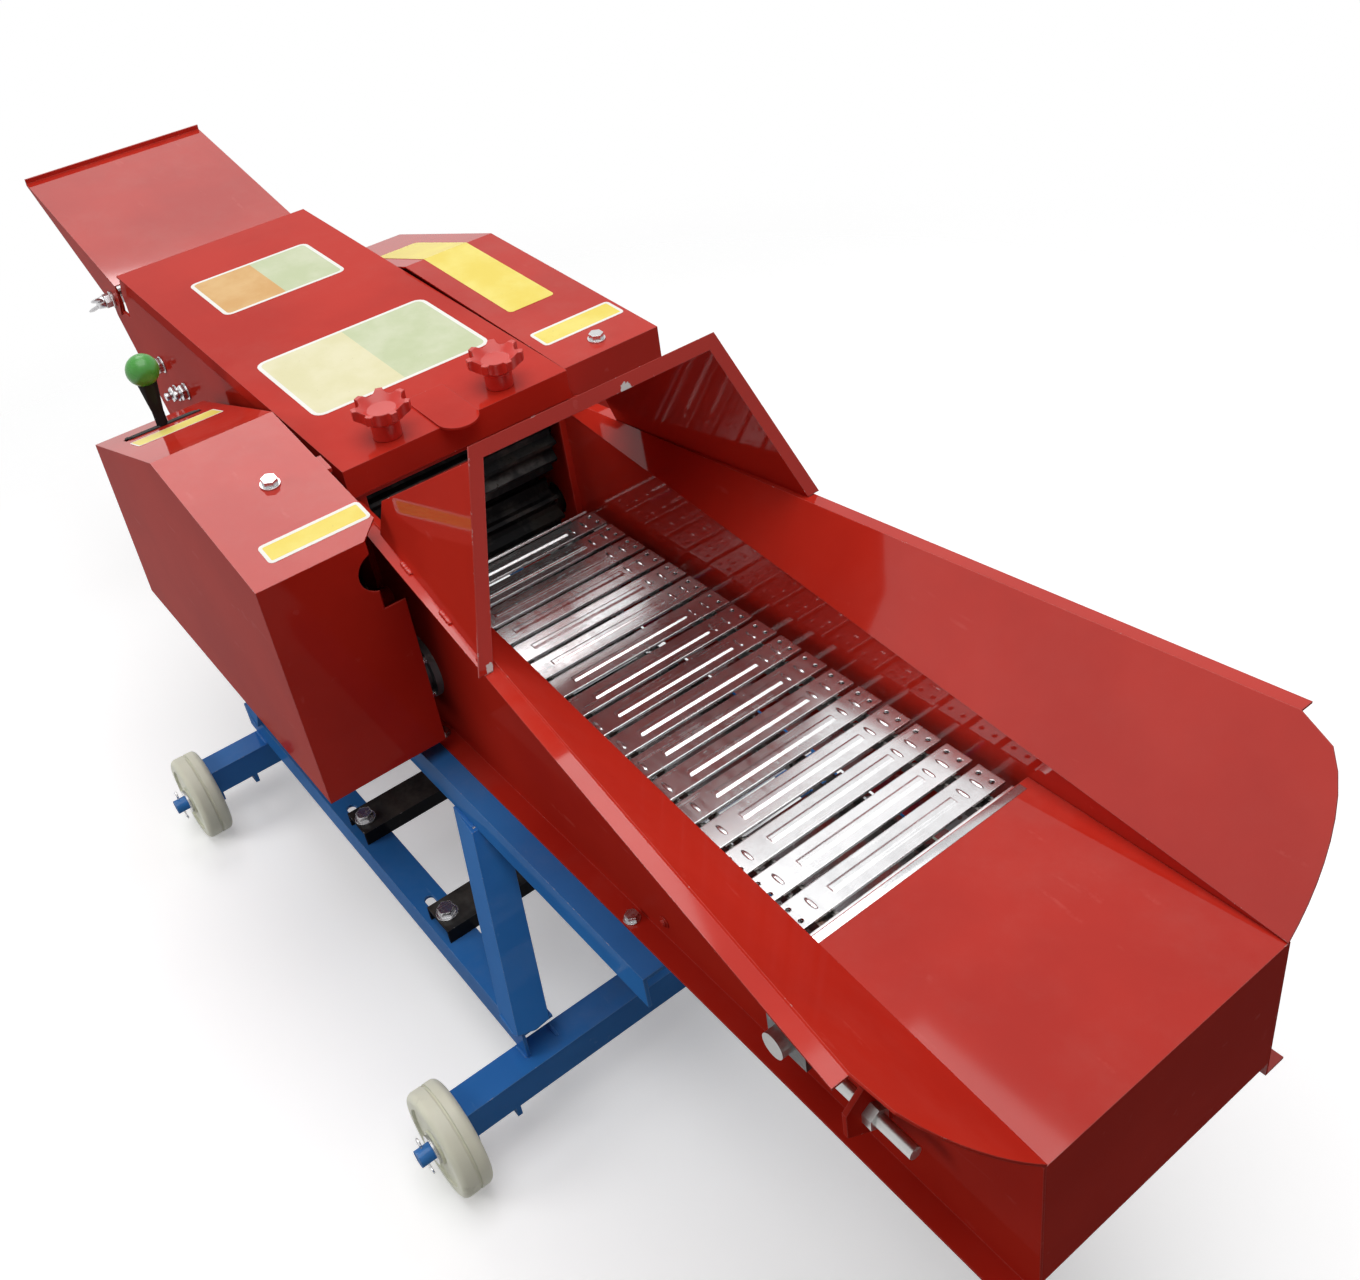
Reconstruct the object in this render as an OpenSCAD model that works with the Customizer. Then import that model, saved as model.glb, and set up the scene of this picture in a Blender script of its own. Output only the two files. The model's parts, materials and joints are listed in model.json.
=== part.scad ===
// Motor-driven chaff cutter: a slat conveyor in a flared trough feeds two toothed rollers, which push the
// crop over a bed knife into a knife rotor. The cut chaff leaves through a tilting chute at the rear.
// X runs from the chute (-X) to the trough's front end (+X), the gear side is -Y, and the floor is Z = 0.
// Places along the machine are given as d, the distance behind the trough's front face.

/* [Trough] */
// Inside width between the upright trough walls
trough_w = 270; // [262:1:280]
// Length from the front end panel to the housing's front panel
trough_len = 950; // [945:1:960]
// Height of the deck above the floor
deck_h = 513; // [500:1:540]
// Depth of the upright walls below the deck
trough_depth = 160; // [156:1:175]
// Height of the flared walls' top edge above the deck
wall_rise = 122; // [118:1:140]
// Lean of the flared walls from upright, in degrees
wall_lean = 42; // [36:1:46]
// Rise of the fold line toward the housing, in degrees
fold_angle = 6.8; // [6:0.1:7]
// Length of the rounded front end of the flared walls, along the fold
wall_round = 70; // [50:1:90]
// Width of the lip turned out along the flared walls
lip_w = 14; // [10:1:18]
// Width of the flange along the bottom of the walls
flange_w = 22; // [18:1:26]
// Thickness of the sheet
sheet = 2; // [1.5:0.1:2.5]
// Length of the flat deck cover at the front end
deck_cover_len = 248; // [240:1:260]
// Depth of the front end panel below the deck
end_panel_h = 144; // [120:1:150]

/* [Conveyor] */
// Pitch of the slats and of the chain links
pitch = 38.1; // [37.5:0.1:38.6]
// Teeth on each sprocket
sprocket_teeth = 10; // [10]
// Links between the two conveyor shafts, on one run
run_links = 17; // [17]
// Distance of the drive shaft ahead of the housing's front panel
drive_set = 64; // [62:1:65]
// Depth of the slats' top below the deck
slat_drop = 5; // [4:0.5:7]
// Width of a slat along the conveyor
slat_w = 31; // [28:0.5:33]
// Length of a slat across the conveyor
slat_len = 242; // [230:1:250]
// Thickness of a slat
slat_t = 3; // [2:0.5:3]
// Height of a slat's underside above the chain's pins
slat_seat = 10; // [9.5:0.1:11]
// Rise of the rib that is pressed along each slat
rib_rise = 1.4; // [1:0.1:2]
// Distance of each chain from the middle
chain_y = 92; // [85:1:98]
// Diameter of the idler shaft
idler_shaft_dia = 25; // [22:1:28]
// Diameter of the drive shaft
drive_shaft_dia = 30; // [26:1:32]
// Size of the square take-up block that holds the idler shaft
takeup_block = 46; // [42:1:50]
// Distance from the idler shaft to the take-up bracket
takeup_reach = 88; // [80:1:95]
// Diameter of the take-up screw
takeup_screw_dia = 12; // [10:1:12]

/* [Housing] */
// Length of the housing
house_len = 705; // [700:1:720]
// Height of the housing's lower edge above the floor
house_base = 286; // [280:1:288]
// Thickness of the housing plates
plate_t = 4; // [3:0.5:5]
// Gap between the trough's inside width and the housing plates
plate_margin = 5; // [4:0.5:8]
// Height of the cover's front top edge above the deck
cover_rise = 161; // [155:1:170]
// Slope of the cover, in degrees
cover_slope = 3; // [2.5:0.1:4]
// Thickness of the cover's sheet
cover_t = 2.5; // [2:0.1:3]
// Depth of the cover's front lip
cover_lip = 36; // [33:1:37]
// Depth of the cover's side lips
cover_side_lip = 20; // [16:1:24]
// Diameter of the cover's hinge rod
hinge_rod_dia = 12; // [10:1:14]
// Height of the mouth above the deck
mouth_rise = 118; // [110:1:120]

/* [Rotor] */
// Depth of the rotor's axis below the deck
rotor_drop = 35; // [32:1:38]
// Radius of the circle that the knife edges run on
rotor_r = 175; // [170:1:176]
// Number of knives
knife_count = 3; // [2:1:4]
// Thickness of a knife
knife_t = 8; // [7:0.5:10]
// Width of a knife from its edge to its back
knife_w = 80; // [74:1:84]
// Angle of the knives to the radius, in degrees
knife_rake = 25; // [20:1:28]
// Diameter of the rotor's shaft
main_shaft_dia = 40; // [36:1:42]
// Gap between the knives and the rotor casing
casing_gap = 12; // [10:1:13]
// Gap between the knives and the bed knife
bed_gap = 2; // [1.5:0.1:3]
// Width of the bed knife between the lower roller and the rotor
bed_knife_w = 23; // [21:0.5:25]
// Radius of the driven pulley
pulley_r = 130; // [120:1:135]
// Width of the driven pulley
pulley_w = 56; // [50:1:58]

/* [Feed rollers] */
// Distance of both feed rollers behind the housing's front panel
roller_set = 70; // [67:1:73]
// Radius over the teeth of the lower roller
lower_r = 45; // [43:1:46]
// Radius over the teeth of the upper roller
upper_r = 60; // [58:1:61]
// Gap between the rollers' teeth at rest
roller_gap = 8; // [7:0.5:10]
// Depth of the rollers' teeth
roller_tooth = 11; // [9:0.5:12]
// Diameter of the rollers' shafts
roller_shaft_dia = 35; // [32:1:36]
// Lift of the upper roller over a thick layer of crop
roller_lift = 25; // [20:1:26]

/* [Gears] */
// Height of the countershaft above the line from the lower roller to the rotor
counter_rise = 35; // [33:0.5:37]
// Teeth on the rotor's pinion
pinion_teeth = 16; // [16]
// Teeth on the countershaft's gear
counter_teeth = 48; // [48]
// Teeth on the slow gear of the shift pair
slow_teeth = 24; // [24]
// Teeth on the fast gear of the shift pair
fast_teeth = 30; // [30]
// Teeth on both roller gears
roller_teeth = 23; // [23]
// Teeth on the gear between the lower roller and the conveyor
idler_teeth = 15; // [15]
// Teeth on the conveyor's gear
conveyor_teeth = 21; // [21]
// Width of the roller gears
roller_gear_w = 16; // [14:1:16]
// Width of the reduction gears
gear_w = 9; // [8:0.5:9]
// Axial gap between neighbouring gears
gear_gap = 4; // [4:0.5:5]
// Play between the teeth
backlash = 0.7; // [0.6:0.1:0.8]
// Diameter of the countershaft
counter_shaft_dia = 30; // [28:1:32]

/* [Gear lever] */
// Swing of the lever to each side, in degrees
lever_swing = 12; // [11:0.5:13]
// Diameter of the ball on the lever
ball_dia = 40; // [36:1:44]
// Height of the ball's middle above the lever's pivot
lever_len = 269; // [262:1:276]
// Distance of the lever behind the rotor's shaft
lever_set = 34; // [30:1:38]
// Diameter of the lever's pivot pin
lever_pin_dia = 12; // [10:1:14]

/* [Guards] */
// Clearance of the gear guard's front panel and bottom from the conveyor's gear
guard_clear = 2.5; // [2:0.5:4]
// Distance of the gear guard's ridge behind the feed rollers
guard_ridge_set = 60; // [54:1:66]
// Distance of the gear guard's rear top edge behind the lever
guard_rear_set = 66; // [60:1:72]
// Rake of the gear guard's rear panel
guard_rake = 26; // [20:1:30]
// Distance of the gear guard's outer face from the middle
guard_y = 305; // [300:1:312]
// Distance of the gear guard's open inner edge from the housing plate
guard_stand = 16; // [14:1:20]
// Height of the gear guard's front top edge above the deck
guard_front_rise = 146; // [142:1:150]
// Height of the gear guard's ridge above the deck
guard_ridge_rise = 192; // [186:1:196]
// Height of the gear guard's rear top edge above the deck
guard_rear_rise = 104; // [98:1:110]
// Distance of the belt guard's outer face from the middle
belt_guard_y = 286; // [282:1:292]
// Length of the belt guard
belt_guard_len = 690; // [680:1:700]
// Distance of the belt guard's ridge behind the rotor's shaft
belt_ridge_set = 68; // [62:1:74]
// Height of the belt guard's ridge above the deck
belt_ridge_rise = 187; // [182:1:192]
// Height of the belt guard's rear top edge above the deck
belt_rear_rise = 110; // [104:1:116]

/* [Chute] */
// Length of the chute's plate
chute_len = 357; // [340:1:380]
// Rest angle of the chute above level, in degrees
chute_angle = 13; // [10:1:16]
// Depth of the chute's side flanges at the pivot
chute_flange = 58; // [54:1:62]
// Diameter of the chute's pivot bolts
chute_pin_dia = 12; // [10:1:14]

/* [Frame] */
// Width of the legs of the frame's angle iron
angle_w = 40; // [38:1:42]
// Thickness of the frame's angle iron
angle_t = 4; // [3:0.5:5]
// Place of the upper rails' front end
rail_front_d = 424; // [410:1:440]
// Distance of the lower rails' outer faces from the middle
lower_rail_y = 248; // [244:1:256]
// Place of the front axle
front_axle_d = 612; // [600:1:625]
// Place of the rear axle
rear_axle_d = 1339; // [1330:1:1350]
// Place of the front motor rail
motor_rail_front_d = 797; // [790:1:805]
// Place of the rear motor rail
motor_rail_rear_d = 1010; // [1000:1:1015]
// Width of a motor rail
motor_rail_w = 50; // [46:1:54]
// Height of a motor rail
motor_rail_h = 20; // [18:1:24]
// Width of the slots in the motor rails
motor_slot_w = 12; // [11:1:14]
// Length of the slots in the motor rails
motor_slot_len = 110; // [100:1:120]
// Distance between the two slots' middles on a motor rail
motor_slot_gap = 150; // [140:1:170]

/* [Wheels] */
// Diameter of the wheels
wheel_dia = 125; // [122:1:130]
// Width of the wheels
wheel_w = 38; // [34:1:42]
// Rounding of the tread's edges
wheel_round = 8; // [6:1:10]
// Diameter of the stub axles
axle_dia = 20; // [18:1:22]
// Distance of the wheels' outer faces from the middle
wheel_y = 376; // [370:1:384]
// Length of each stub axle past its wheel
axle_stub = 20; // [16:1:24]

/* [Star knobs] */
// Diameter over the knob's lobes
knob_dia = 66; // [60:1:70]
// Height of a knob
knob_h = 42; // [38:1:46]
// Distance of each knob from the middle
knob_y = 74; // [70:1:80]
// Diameter of the knob's stud
stud_dia = 12; // [10:1:12]

/* [Fits] */
// Radial play of a turning fit
play = 0.05; // [0.03:0.01:0.08]
// Gap between neighbouring pieces that move past each other
gap = 0.4; // [0.3:0.05:0.5]

/* [Hidden] */
$fn = 48;

half_w = trough_w / 2;
wall_out = half_w + sheet;
wall_base = deck_h - trough_depth;
rail_top = wall_base - sheet;
rail_base = rail_top - angle_w;
plate_in = half_w + plate_margin;
plate_out = plate_in + plate_t;
rail_y = plate_out + angle_w;
house_d = trough_len;
house_rear_d = house_d + house_len;

turn = 360 / sprocket_teeth;
apothem = pitch / 2 / tan(turn / 2);
pitch_r = pitch / 2 / sin(turn / 2);
slat_top = deck_h - slat_drop;
conveyor_z = slat_top - slat_t - slat_seat - apothem;
drive_d = house_d - drive_set;
idler_d = drive_d - run_links * pitch;
wrap_links = sprocket_teeth / 2 - 1;

// The bed knife fills the room between the lower roller and the rotor, so it sets the rotor's place
roller_d = house_d + roller_set;
rotor_z = deck_h - rotor_drop;
bed_top = deck_h - 6;
bed_back = roller_d + lower_r + 3;
bed_edge = bed_back + bed_knife_w;
rotor_d = bed_edge + sqrt(pow(rotor_r + bed_gap, 2) - pow(bed_top - rotor_z, 2));
lever_d = rotor_d + lever_set;
casing_r = rotor_r + casing_gap;
lower_z = deck_h - lower_r;
upper_z = deck_h + roller_gap + upper_r;

// Layers of the gears outside the near plate, as distances from the middle
bearing_w = 24;
layer_roller = plate_out + bearing_w + gear_gap;
layer_counter = layer_roller + roller_gear_w + gear_gap;
layer_slow = layer_counter + gear_w + gear_gap + 1;
layer_shift = layer_slow + gear_w + gear_gap;
fork_groove = 8;
layer_fast = layer_shift + 2 * gear_w + fork_groove + gear_gap;
shift_travel = gear_w + gear_gap;
fork_y = layer_shift + gear_w + fork_groove / 2;
shaft_end_y = layer_fast + gear_w + 4;

// Height of a tooth above and below the pitch circle, in modules
gear_tip = 0.8;
gear_root = 1.05;
roller_module = (upper_z - lower_z) / roller_teeth;
slow_mate = counter_teeth + pinion_teeth - slow_teeth;
fast_mate = counter_teeth + pinion_teeth - fast_teeth;

// Gear axes as points [d, z]; the third axis of a train stands where two circles round its neighbours cross
lower_axis = [roller_d, lower_z];
upper_axis = [roller_d, upper_z];
rotor_axis = [rotor_d, rotor_z];
drive_axis = [drive_d, conveyor_z];
counter_reach = norm([norm(rotor_axis - lower_axis) / 2, counter_rise]);
gear_module = 2 * counter_reach / (pinion_teeth + counter_teeth);
function crossing(a, b, ra, rb, side) =
  let (v = b - a, c = norm(v), u = (ra * ra - rb * rb + c * c) / (2 * c), h = sqrt(ra * ra - u * u))
  a + v * u / c + side * h / c * [-v[1], v[0]];
counter_axis = crossing(lower_axis, rotor_axis, counter_reach, counter_reach, 1);
idler_axis = crossing(lower_axis, drive_axis, roller_module * (roller_teeth + idler_teeth) / 2,
  roller_module * (idler_teeth + conveyor_teeth) / 2, -1);

// Angle of the line from one axis to another, seen from the gear side with +X to the right
function bearing_angle(a, b) = atan2(b[1] - a[1], a[0] - b[0]);
function mate_phase(phase, teeth, mate_teeth, angle) =
  angle + 180 + 180 / mate_teeth - (phase - angle) * teeth / mate_teeth;

fold_rise = tan(fold_angle);
lean_run = tan(wall_lean);
wall_top = deck_h + wall_rise;
function fold_z(d) = deck_h + d * fold_rise;
function lip_y(d) = half_w + (wall_top - fold_z(d)) * lean_run;
function cover_z(d) = deck_h + cover_rise + (d - house_d) * tan(cover_slope);

chute_pivot_d = house_rear_d + 70;
chute_pivot_z = cover_z(house_rear_d) - 56;
ear_r = 26;
ear_d = chute_pivot_d + ear_r - 4;
chute_lead = 30;
chute_lift = 38;
chute_clear = norm([chute_lead, chute_lift]) + 6;
chute_run = (chute_len - chute_lead) * cos(chute_angle);
chute_tip_d = chute_pivot_d + chute_run - (chute_lift - 4) * sin(chute_angle);
front_x = chute_tip_d / 2;

wheel_r = wheel_dia / 2;
beam_top = wheel_r + angle_w;
lower_rail_top = beam_top + angle_w;
axle_end = wheel_y + axle_stub;
beam_end = wheel_y - wheel_w - 1;

lever_arm = shift_travel / sin(lever_swing);
lever_pivot_z = counter_axis[1] - lever_arm;
guard_reach = roller_module * (conveyor_teeth / 2 + gear_tip) + guard_clear + sheet;
guard_d = drive_d - guard_reach;
guard_bottom = conveyor_z - guard_reach - 1.5;
guard_inner_y = plate_out + guard_stand;
guard_ridge_d = roller_d + guard_ridge_set;
guard_rear_d = lever_d + guard_rear_set;
guard_outline = [
  [guard_d, guard_bottom], [guard_d, deck_h + guard_front_rise], [guard_ridge_d, deck_h + guard_ridge_rise],
  [guard_rear_d, deck_h + guard_rear_rise], [guard_rear_d + guard_rake, guard_bottom]];
belt_guard_d = house_d + 3;
belt_guard_inner = plate_out + gap + cover_t + 2;
belt_outline = [
  [belt_guard_d, rail_top + 4], [belt_guard_d, cover_z(belt_guard_d) - 2],
  [rotor_d + belt_ridge_set, deck_h + belt_ridge_rise],
  [belt_guard_d + belt_guard_len, deck_h + belt_rear_rise],
  [belt_guard_d + belt_guard_len, rail_top + 4]];

paint = "firebrick";
blue = "royalblue";
steel = "silver";
dark = "dimgray";

// Placing helpers
module at(d, y, z) {
  translate([front_x - d, y, z]) children();
}

// Cylinder along Y between two distances from the middle, on an axis given as [d, z]
module rod_y(axis, dia, y0, y1) {
  at(axis[0], y0, axis[1]) rotate([-90, 0, 0]) cylinder(d = dia, h = y1 - y0);
}

// Box from d0 back to d1
module box(d0, d1, y0, y1, z0, z1) {
  translate([front_x - d1, y0, z0]) cube([d1 - d0, y1 - y0, z1 - z0]);
}

// Outline of [d, z] points, drawn out along Y
module side_plate(points, y0, y1) {
  translate([0, y1, 0]) rotate([90, 0, 0]) linear_extrude(y1 - y0)
    polygon([for (p = points) [front_x - p[0], p[1]]]);
}

module both_sides() {
  children();
  mirror([0, 1, 0]) children();
}

// Convex outline moved inward by t, corner by corner
function line_shift(a, b, t) = let (v = b - a) t / norm(v) * [v[1], -v[0]];
function inset(p, t) = let (n = len(p)) [for (i = [0 : n - 1])
  let (a = p[(i + n - 1) % n], b = p[i], c = p[(i + 1) % n],
    s = line_shift(a, b, t) / t, q = line_shift(b, c, t) / t)
  b + t / (1 + s * q) * (s + q)];

// Flat sheet through the corner points [d, y, z], with its thickness on the side of the corners' normal
module sheet_panel(corners, t) {
  n = len(corners);
  p = [for (c = corners) [front_x - c[0], c[1], c[2]]];
  normal = cross(p[1] - p[0], p[2] - p[0]);
  step = t * normal / norm(normal);
  polyhedron(
    points = concat(p, [for (c = p) c + step]),
    faces = concat(
      [for (i = [1 : n - 2]) [0, i, i + 1]],
      [for (i = [1 : n - 2]) [n, n + i + 1, n + i]],
      [for (i = [0 : n - 1]) [i, n + i, (i + 1) % n]],
      [for (i = [0 : n - 1]) [(i + 1) % n, n + i, n + (i + 1) % n]]));
}

// Involute spur gear with its teeth in the XZ plane, from y to y + w outward on the gear side
function inv(angle) = tan(angle) * 180 / PI - angle;
module gear(axis, m, teeth, w, y, bore, phase) {
  r = m * teeth / 2;
  base = r * cos(20);
  root = r - gear_root * m;
  tip = r + gear_tip * m;
  half = function (q) 90 / teeth - backlash / 2 / r * 90 / PI + inv(20) - inv(acos(min(1, base / q)));
  low = max(base, root + 0.05 * m);
  radii = [for (k = [0 : 3]) low + (tip - low) * k / 3];
  flank = [for (q = radii) [q, half(q)]];
  tooth = concat([[root, -half(low)]], [for (f = flank) [f[0], -f[1]]],
    [for (k = [3 : -1 : 0]) flank[k]], [[root, half(low)]]);
  at(axis[0], -y, axis[1]) rotate([90, 0, 0]) linear_extrude(w) difference() {
    polygon([for (k = [0 : teeth - 1], f = tooth) let (a = phase + k * 360 / teeth + f[1])
      f[0] * [cos(a), sin(a)]]);
    circle(d = bore);
  }
}

// Phases that let every pair of gears mesh at rest
up_angle = bearing_angle(lower_axis, upper_axis);
to_idler = bearing_angle(lower_axis, idler_axis);
idler_to_drive = bearing_angle(idler_axis, drive_axis);
to_counter = bearing_angle(rotor_axis, counter_axis);
counter_to_lower = bearing_angle(counter_axis, lower_axis);
upper_phase = mate_phase(up_angle, roller_teeth, roller_teeth, up_angle);
idler_phase = mate_phase(up_angle, roller_teeth, idler_teeth, to_idler);
conveyor_phase = mate_phase(idler_phase, idler_teeth, conveyor_teeth, idler_to_drive);
counter_phase = mate_phase(to_counter, pinion_teeth, counter_teeth, to_counter);
slow_phase = mate_phase(counter_to_lower, slow_teeth, slow_mate, counter_to_lower);
fast_phase = mate_phase(counter_to_lower, fast_teeth, fast_mate, counter_to_lower);

// Hexagon head on a washer, standing along +Z from the origin
module bolt_head(dia) {
  cylinder(d = 2.2 * dia, h = 0.2 * dia);
  translate([0, 0, 0.2 * dia]) cylinder(d = 1.8 * dia, h = 0.65 * dia, $fn = 6);
}

// Frame of angle iron
module angle_along_x(d0, d1, y, top) {
  box(d0, d1, y - angle_w, y, top - angle_t, top);
  box(d0, d1, y - angle_t, y, top - angle_w, top - angle_t);
}

module upper_rail() {
  color(blue) angle_along_x(rail_front_d, house_rear_d - 60, rail_y, rail_top);
}

// Lower rail, with a slot at each end of both motor rails
rail_slot_w = 12;
rail_slot_len = 70;
module lower_rail() {
  color(blue) difference() {
    angle_along_x(front_axle_d - 4, rear_axle_d + angle_w, lower_rail_y, lower_rail_top);
    for (d = [motor_rail_front_d, motor_rail_rear_d])
      at(d + 24, lower_rail_y - angle_w / 2, lower_rail_top - 2 * angle_t)
        linear_extrude(3 * angle_t) union() {
          square([rail_slot_len - rail_slot_w, rail_slot_w], center = true);
          for (s = [-1, 1]) translate([s * (rail_slot_len - rail_slot_w) / 2, 0]) circle(d = rail_slot_w);
        }
  }
}

// Inclined leg between the lower rail's top and the upper rail's underside
module leg(foot_d, head_d) {
  foot = [front_x - foot_d, lower_rail_y - angle_w, lower_rail_top];
  head = [front_x - head_d, rail_y - angle_w, rail_base];
  v = head - foot;
  over = angle_w;
  color(blue) intersection() {
    translate(foot) rotate([0, 0, atan2(v[1], v[0])]) rotate([0, atan2(norm([v[0], v[1]]), v[2]), 0])
      rotate([0, 0, -atan2(v[1], v[0])]) translate([0, 0, -over]) linear_extrude(norm(v) + 2 * over)
        union() {
          translate([0, angle_w - angle_t]) square([angle_w, angle_t]);
          translate([angle_w - angle_t, 0]) square([angle_t, angle_w]);
        }
    box(0, chute_tip_d, 0, 2 * lower_rail_y, lower_rail_top, rail_base);
  }
}

module front_leg() {
  leg(front_axle_d + 45, front_axle_d + 185);
}

module rear_leg() {
  leg(rear_axle_d + 20, rear_axle_d + 95);
}

// Axle beam: an angle across the machine, with a stub axle at each end that two web plates carry
stub_hold = 60;
web_t = 6;
module axle(d) {
  color(blue) {
    box(d - angle_w / 2, d + angle_w / 2, -beam_end, beam_end, beam_top - angle_t, beam_top);
    box(d - angle_w / 2, d - angle_w / 2 + angle_t, -beam_end, beam_end, beam_top - angle_w, beam_top);
    both_sides() {
      rod_y([d, wheel_r], axle_dia, beam_end - stub_hold, axle_end);
      for (y = [beam_end - stub_hold, beam_end - web_t])
        box(d - angle_w / 2, d + axle_dia * 0.7, y, y + web_t, wheel_r - axle_dia * 0.7, beam_top - 1);
    }
  }
}

module front_axle() {
  axle(front_axle_d);
}

module rear_axle() {
  axle(rear_axle_d);
}

module cross_ties() {
  color(blue) for (d = [rail_front_d + 20, house_d - 60, house_rear_d - 100]) {
    box(d, d + angle_w, -plate_out, plate_out, rail_base, rail_base + angle_t);
    box(d, d + angle_t, -plate_out, plate_out, rail_base + angle_t, rail_top - angle_t);
  }
}

// Slotted channel that the motor is bolted to
module motor_rail(d) {
  reach = lower_rail_y - 6;
  wall = 3;
  color(dark) difference() {
    box(d - motor_rail_w / 2, d + motor_rail_w / 2, -reach, reach, lower_rail_top,
      lower_rail_top + motor_rail_h);
    box(d - motor_rail_w / 2 + wall, d + motor_rail_w / 2 - wall, -reach - 1, reach + 1,
      lower_rail_top - 1, lower_rail_top + motor_rail_h - wall);
    at(d, 0, lower_rail_top) linear_extrude(2 * motor_rail_h) union() {
      for (s = [-1, 1]) translate([0, s * motor_slot_gap / 2]) {
        square([motor_slot_w, motor_slot_len - motor_slot_w], center = true);
        for (e = [-1, 1]) translate([0, e * (motor_slot_len - motor_slot_w) / 2]) circle(d = motor_slot_w);
      }
    }
  }
}

module motor_rail_front() {
  motor_rail(motor_rail_front_d);
}

module motor_rail_rear() {
  motor_rail(motor_rail_rear_d);
}

// Wheel with round tread edges, a groove round the tread and a sunk face
groove_w = 3;
groove_depth = 2;
module wheel(d, side) {
  r = wheel_round;
  color("ivory") at(d, side * (wheel_y - wheel_w), wheel_r) rotate([-90 * side, 0, 0])
    rotate_extrude($fn = 64) difference() {
      union() {
        square([wheel_r - r, wheel_w]);
        translate([wheel_r - r, r]) square([r, wheel_w - 2 * r]);
        for (h = [r, wheel_w - r]) translate([wheel_r - r, h]) circle(r = r);
      }
      translate([-1, -1]) square([axle_dia / 2 + play + 1, wheel_w + 2]);
      translate([wheel_r - groove_depth, wheel_w * 0.42]) square([groove_depth + 1, groove_w]);
      translate([axle_dia, wheel_w - 3]) square([wheel_r - 2 * r - axle_dia, 4]);
    }
}

module axle_washers() {
  color(steel) for (d = [front_axle_d, rear_axle_d]) both_sides()
    at(d, wheel_y + gap, wheel_r) rotate([-90, 0, 0]) difference() {
      cylinder(d = 1.7 * axle_dia, h = 3);
      translate([0, 0, -1]) cylinder(d = axle_dia, h = 5);
    }
}

// Trough wall: an upright sheet under a fold that rises to the rear, a flared sheet above it with a round
// front end, a lip along the top and a flange along the bottom. The hole passes the idler or drive shaft.
round_steps = 10;
function wall_end(s) = [wall_round * (1 - sqrt(1 - s * s)), s];
module trough_wall() {
  rear = trough_len;
  reach = function (u) (wall_rise - u * fold_rise) / cos(wall_lean);
  lip_d = wall_round * 1.02;
  color(paint) {
    difference() {
      side_plate([[0, wall_base], [0, deck_h], [rear, fold_z(rear)], [rear, wall_base]], half_w, wall_out);
      wall_slot(idler_d, idler_shaft_dia + 6, 60);
      rod_y(drive_axis, drive_shaft_dia + 8, 0, wall_out + 1);
    }
    box(0, rear, half_w, wall_out + flange_w, wall_base - sheet, wall_base);
    sheet_panel(concat(
      [for (k = [0 : round_steps - 1]) let (e = wall_end(k / round_steps))
        wall_point(e[0], e[1] * reach(e[0]))],
      [wall_point(lip_d, reach(lip_d)), wall_point(rear, reach(rear)), wall_point(rear, 0)]), sheet);
    translate([0, 0, wall_top - sheet]) linear_extrude(sheet) polygon([
      [front_x - lip_d, lip_y(lip_d) - sheet], [front_x - lip_d, lip_y(lip_d) + lip_w],
      [front_x - rear, lip_y(rear) + lip_w], [front_x - rear, lip_y(rear) - sheet]]);
    takeup_bracket();
  }
}

// Point of the flared sheet's inner face, d behind the front and s up its slope from the fold
function wall_point(d, s) = [d, half_w + s * sin(wall_lean), fold_z(d) + s * cos(wall_lean)];

// Slot along X through the near or far wall
module wall_slot(d, dia, length) {
  for (s = [-1, 1]) rod_y([d + s * (length - dia) / 2, conveyor_z], dia, 0, wall_out + 1);
  run = (length - dia) / 2;
  box(d - run, d + run, 0, wall_out + 1, conveyor_z - dia / 2, conveyor_z + dia / 2);
}

bracket_t = 5;
bracket_h = 62;
screw_y = wall_out + 22;
module takeup_bracket() {
  half = bracket_h / 2;
  difference() {
    at(idler_d - takeup_reach, wall_out, conveyor_z) rotate([90, 0, 90]) linear_extrude(bracket_t)
      polygon([[-0.5, -half], [takeup_block * 0.3, -half], [takeup_block, -half * 0.35],
        [takeup_block, half * 0.5], [takeup_block * 0.6, half], [-0.5, half]]);
    at(idler_d - takeup_reach + 5, screw_y, conveyor_z) rotate([0, 90, 0])
      cylinder(d = takeup_screw_dia + 2, h = 40);
  }
}

stub_dia = 20;
stub_end = layer_roller + roller_gear_w + 6;
module trough_near_wall() {
  mirror([0, 1, 0]) trough_wall();
  color(steel) rod_y(idler_axis, stub_dia, -stub_end, -half_w);
}

module trough_far_wall() {
  trough_wall();
}

// Deck cover over the front of the conveyor, bent down into the end panel
module deck_cover() {
  w = half_w - gap;
  color(paint) {
    box(0, deck_cover_len, -w, w, deck_h - sheet, deck_h);
    box(0, sheet, -w, w, deck_h - end_panel_h, deck_h);
    box(0, 16, -w, w, deck_h - end_panel_h - sheet, deck_h - end_panel_h);
    both_sides() box(0, 24, w - sheet, half_w, deck_h - end_panel_h, deck_h);
  }
}

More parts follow.
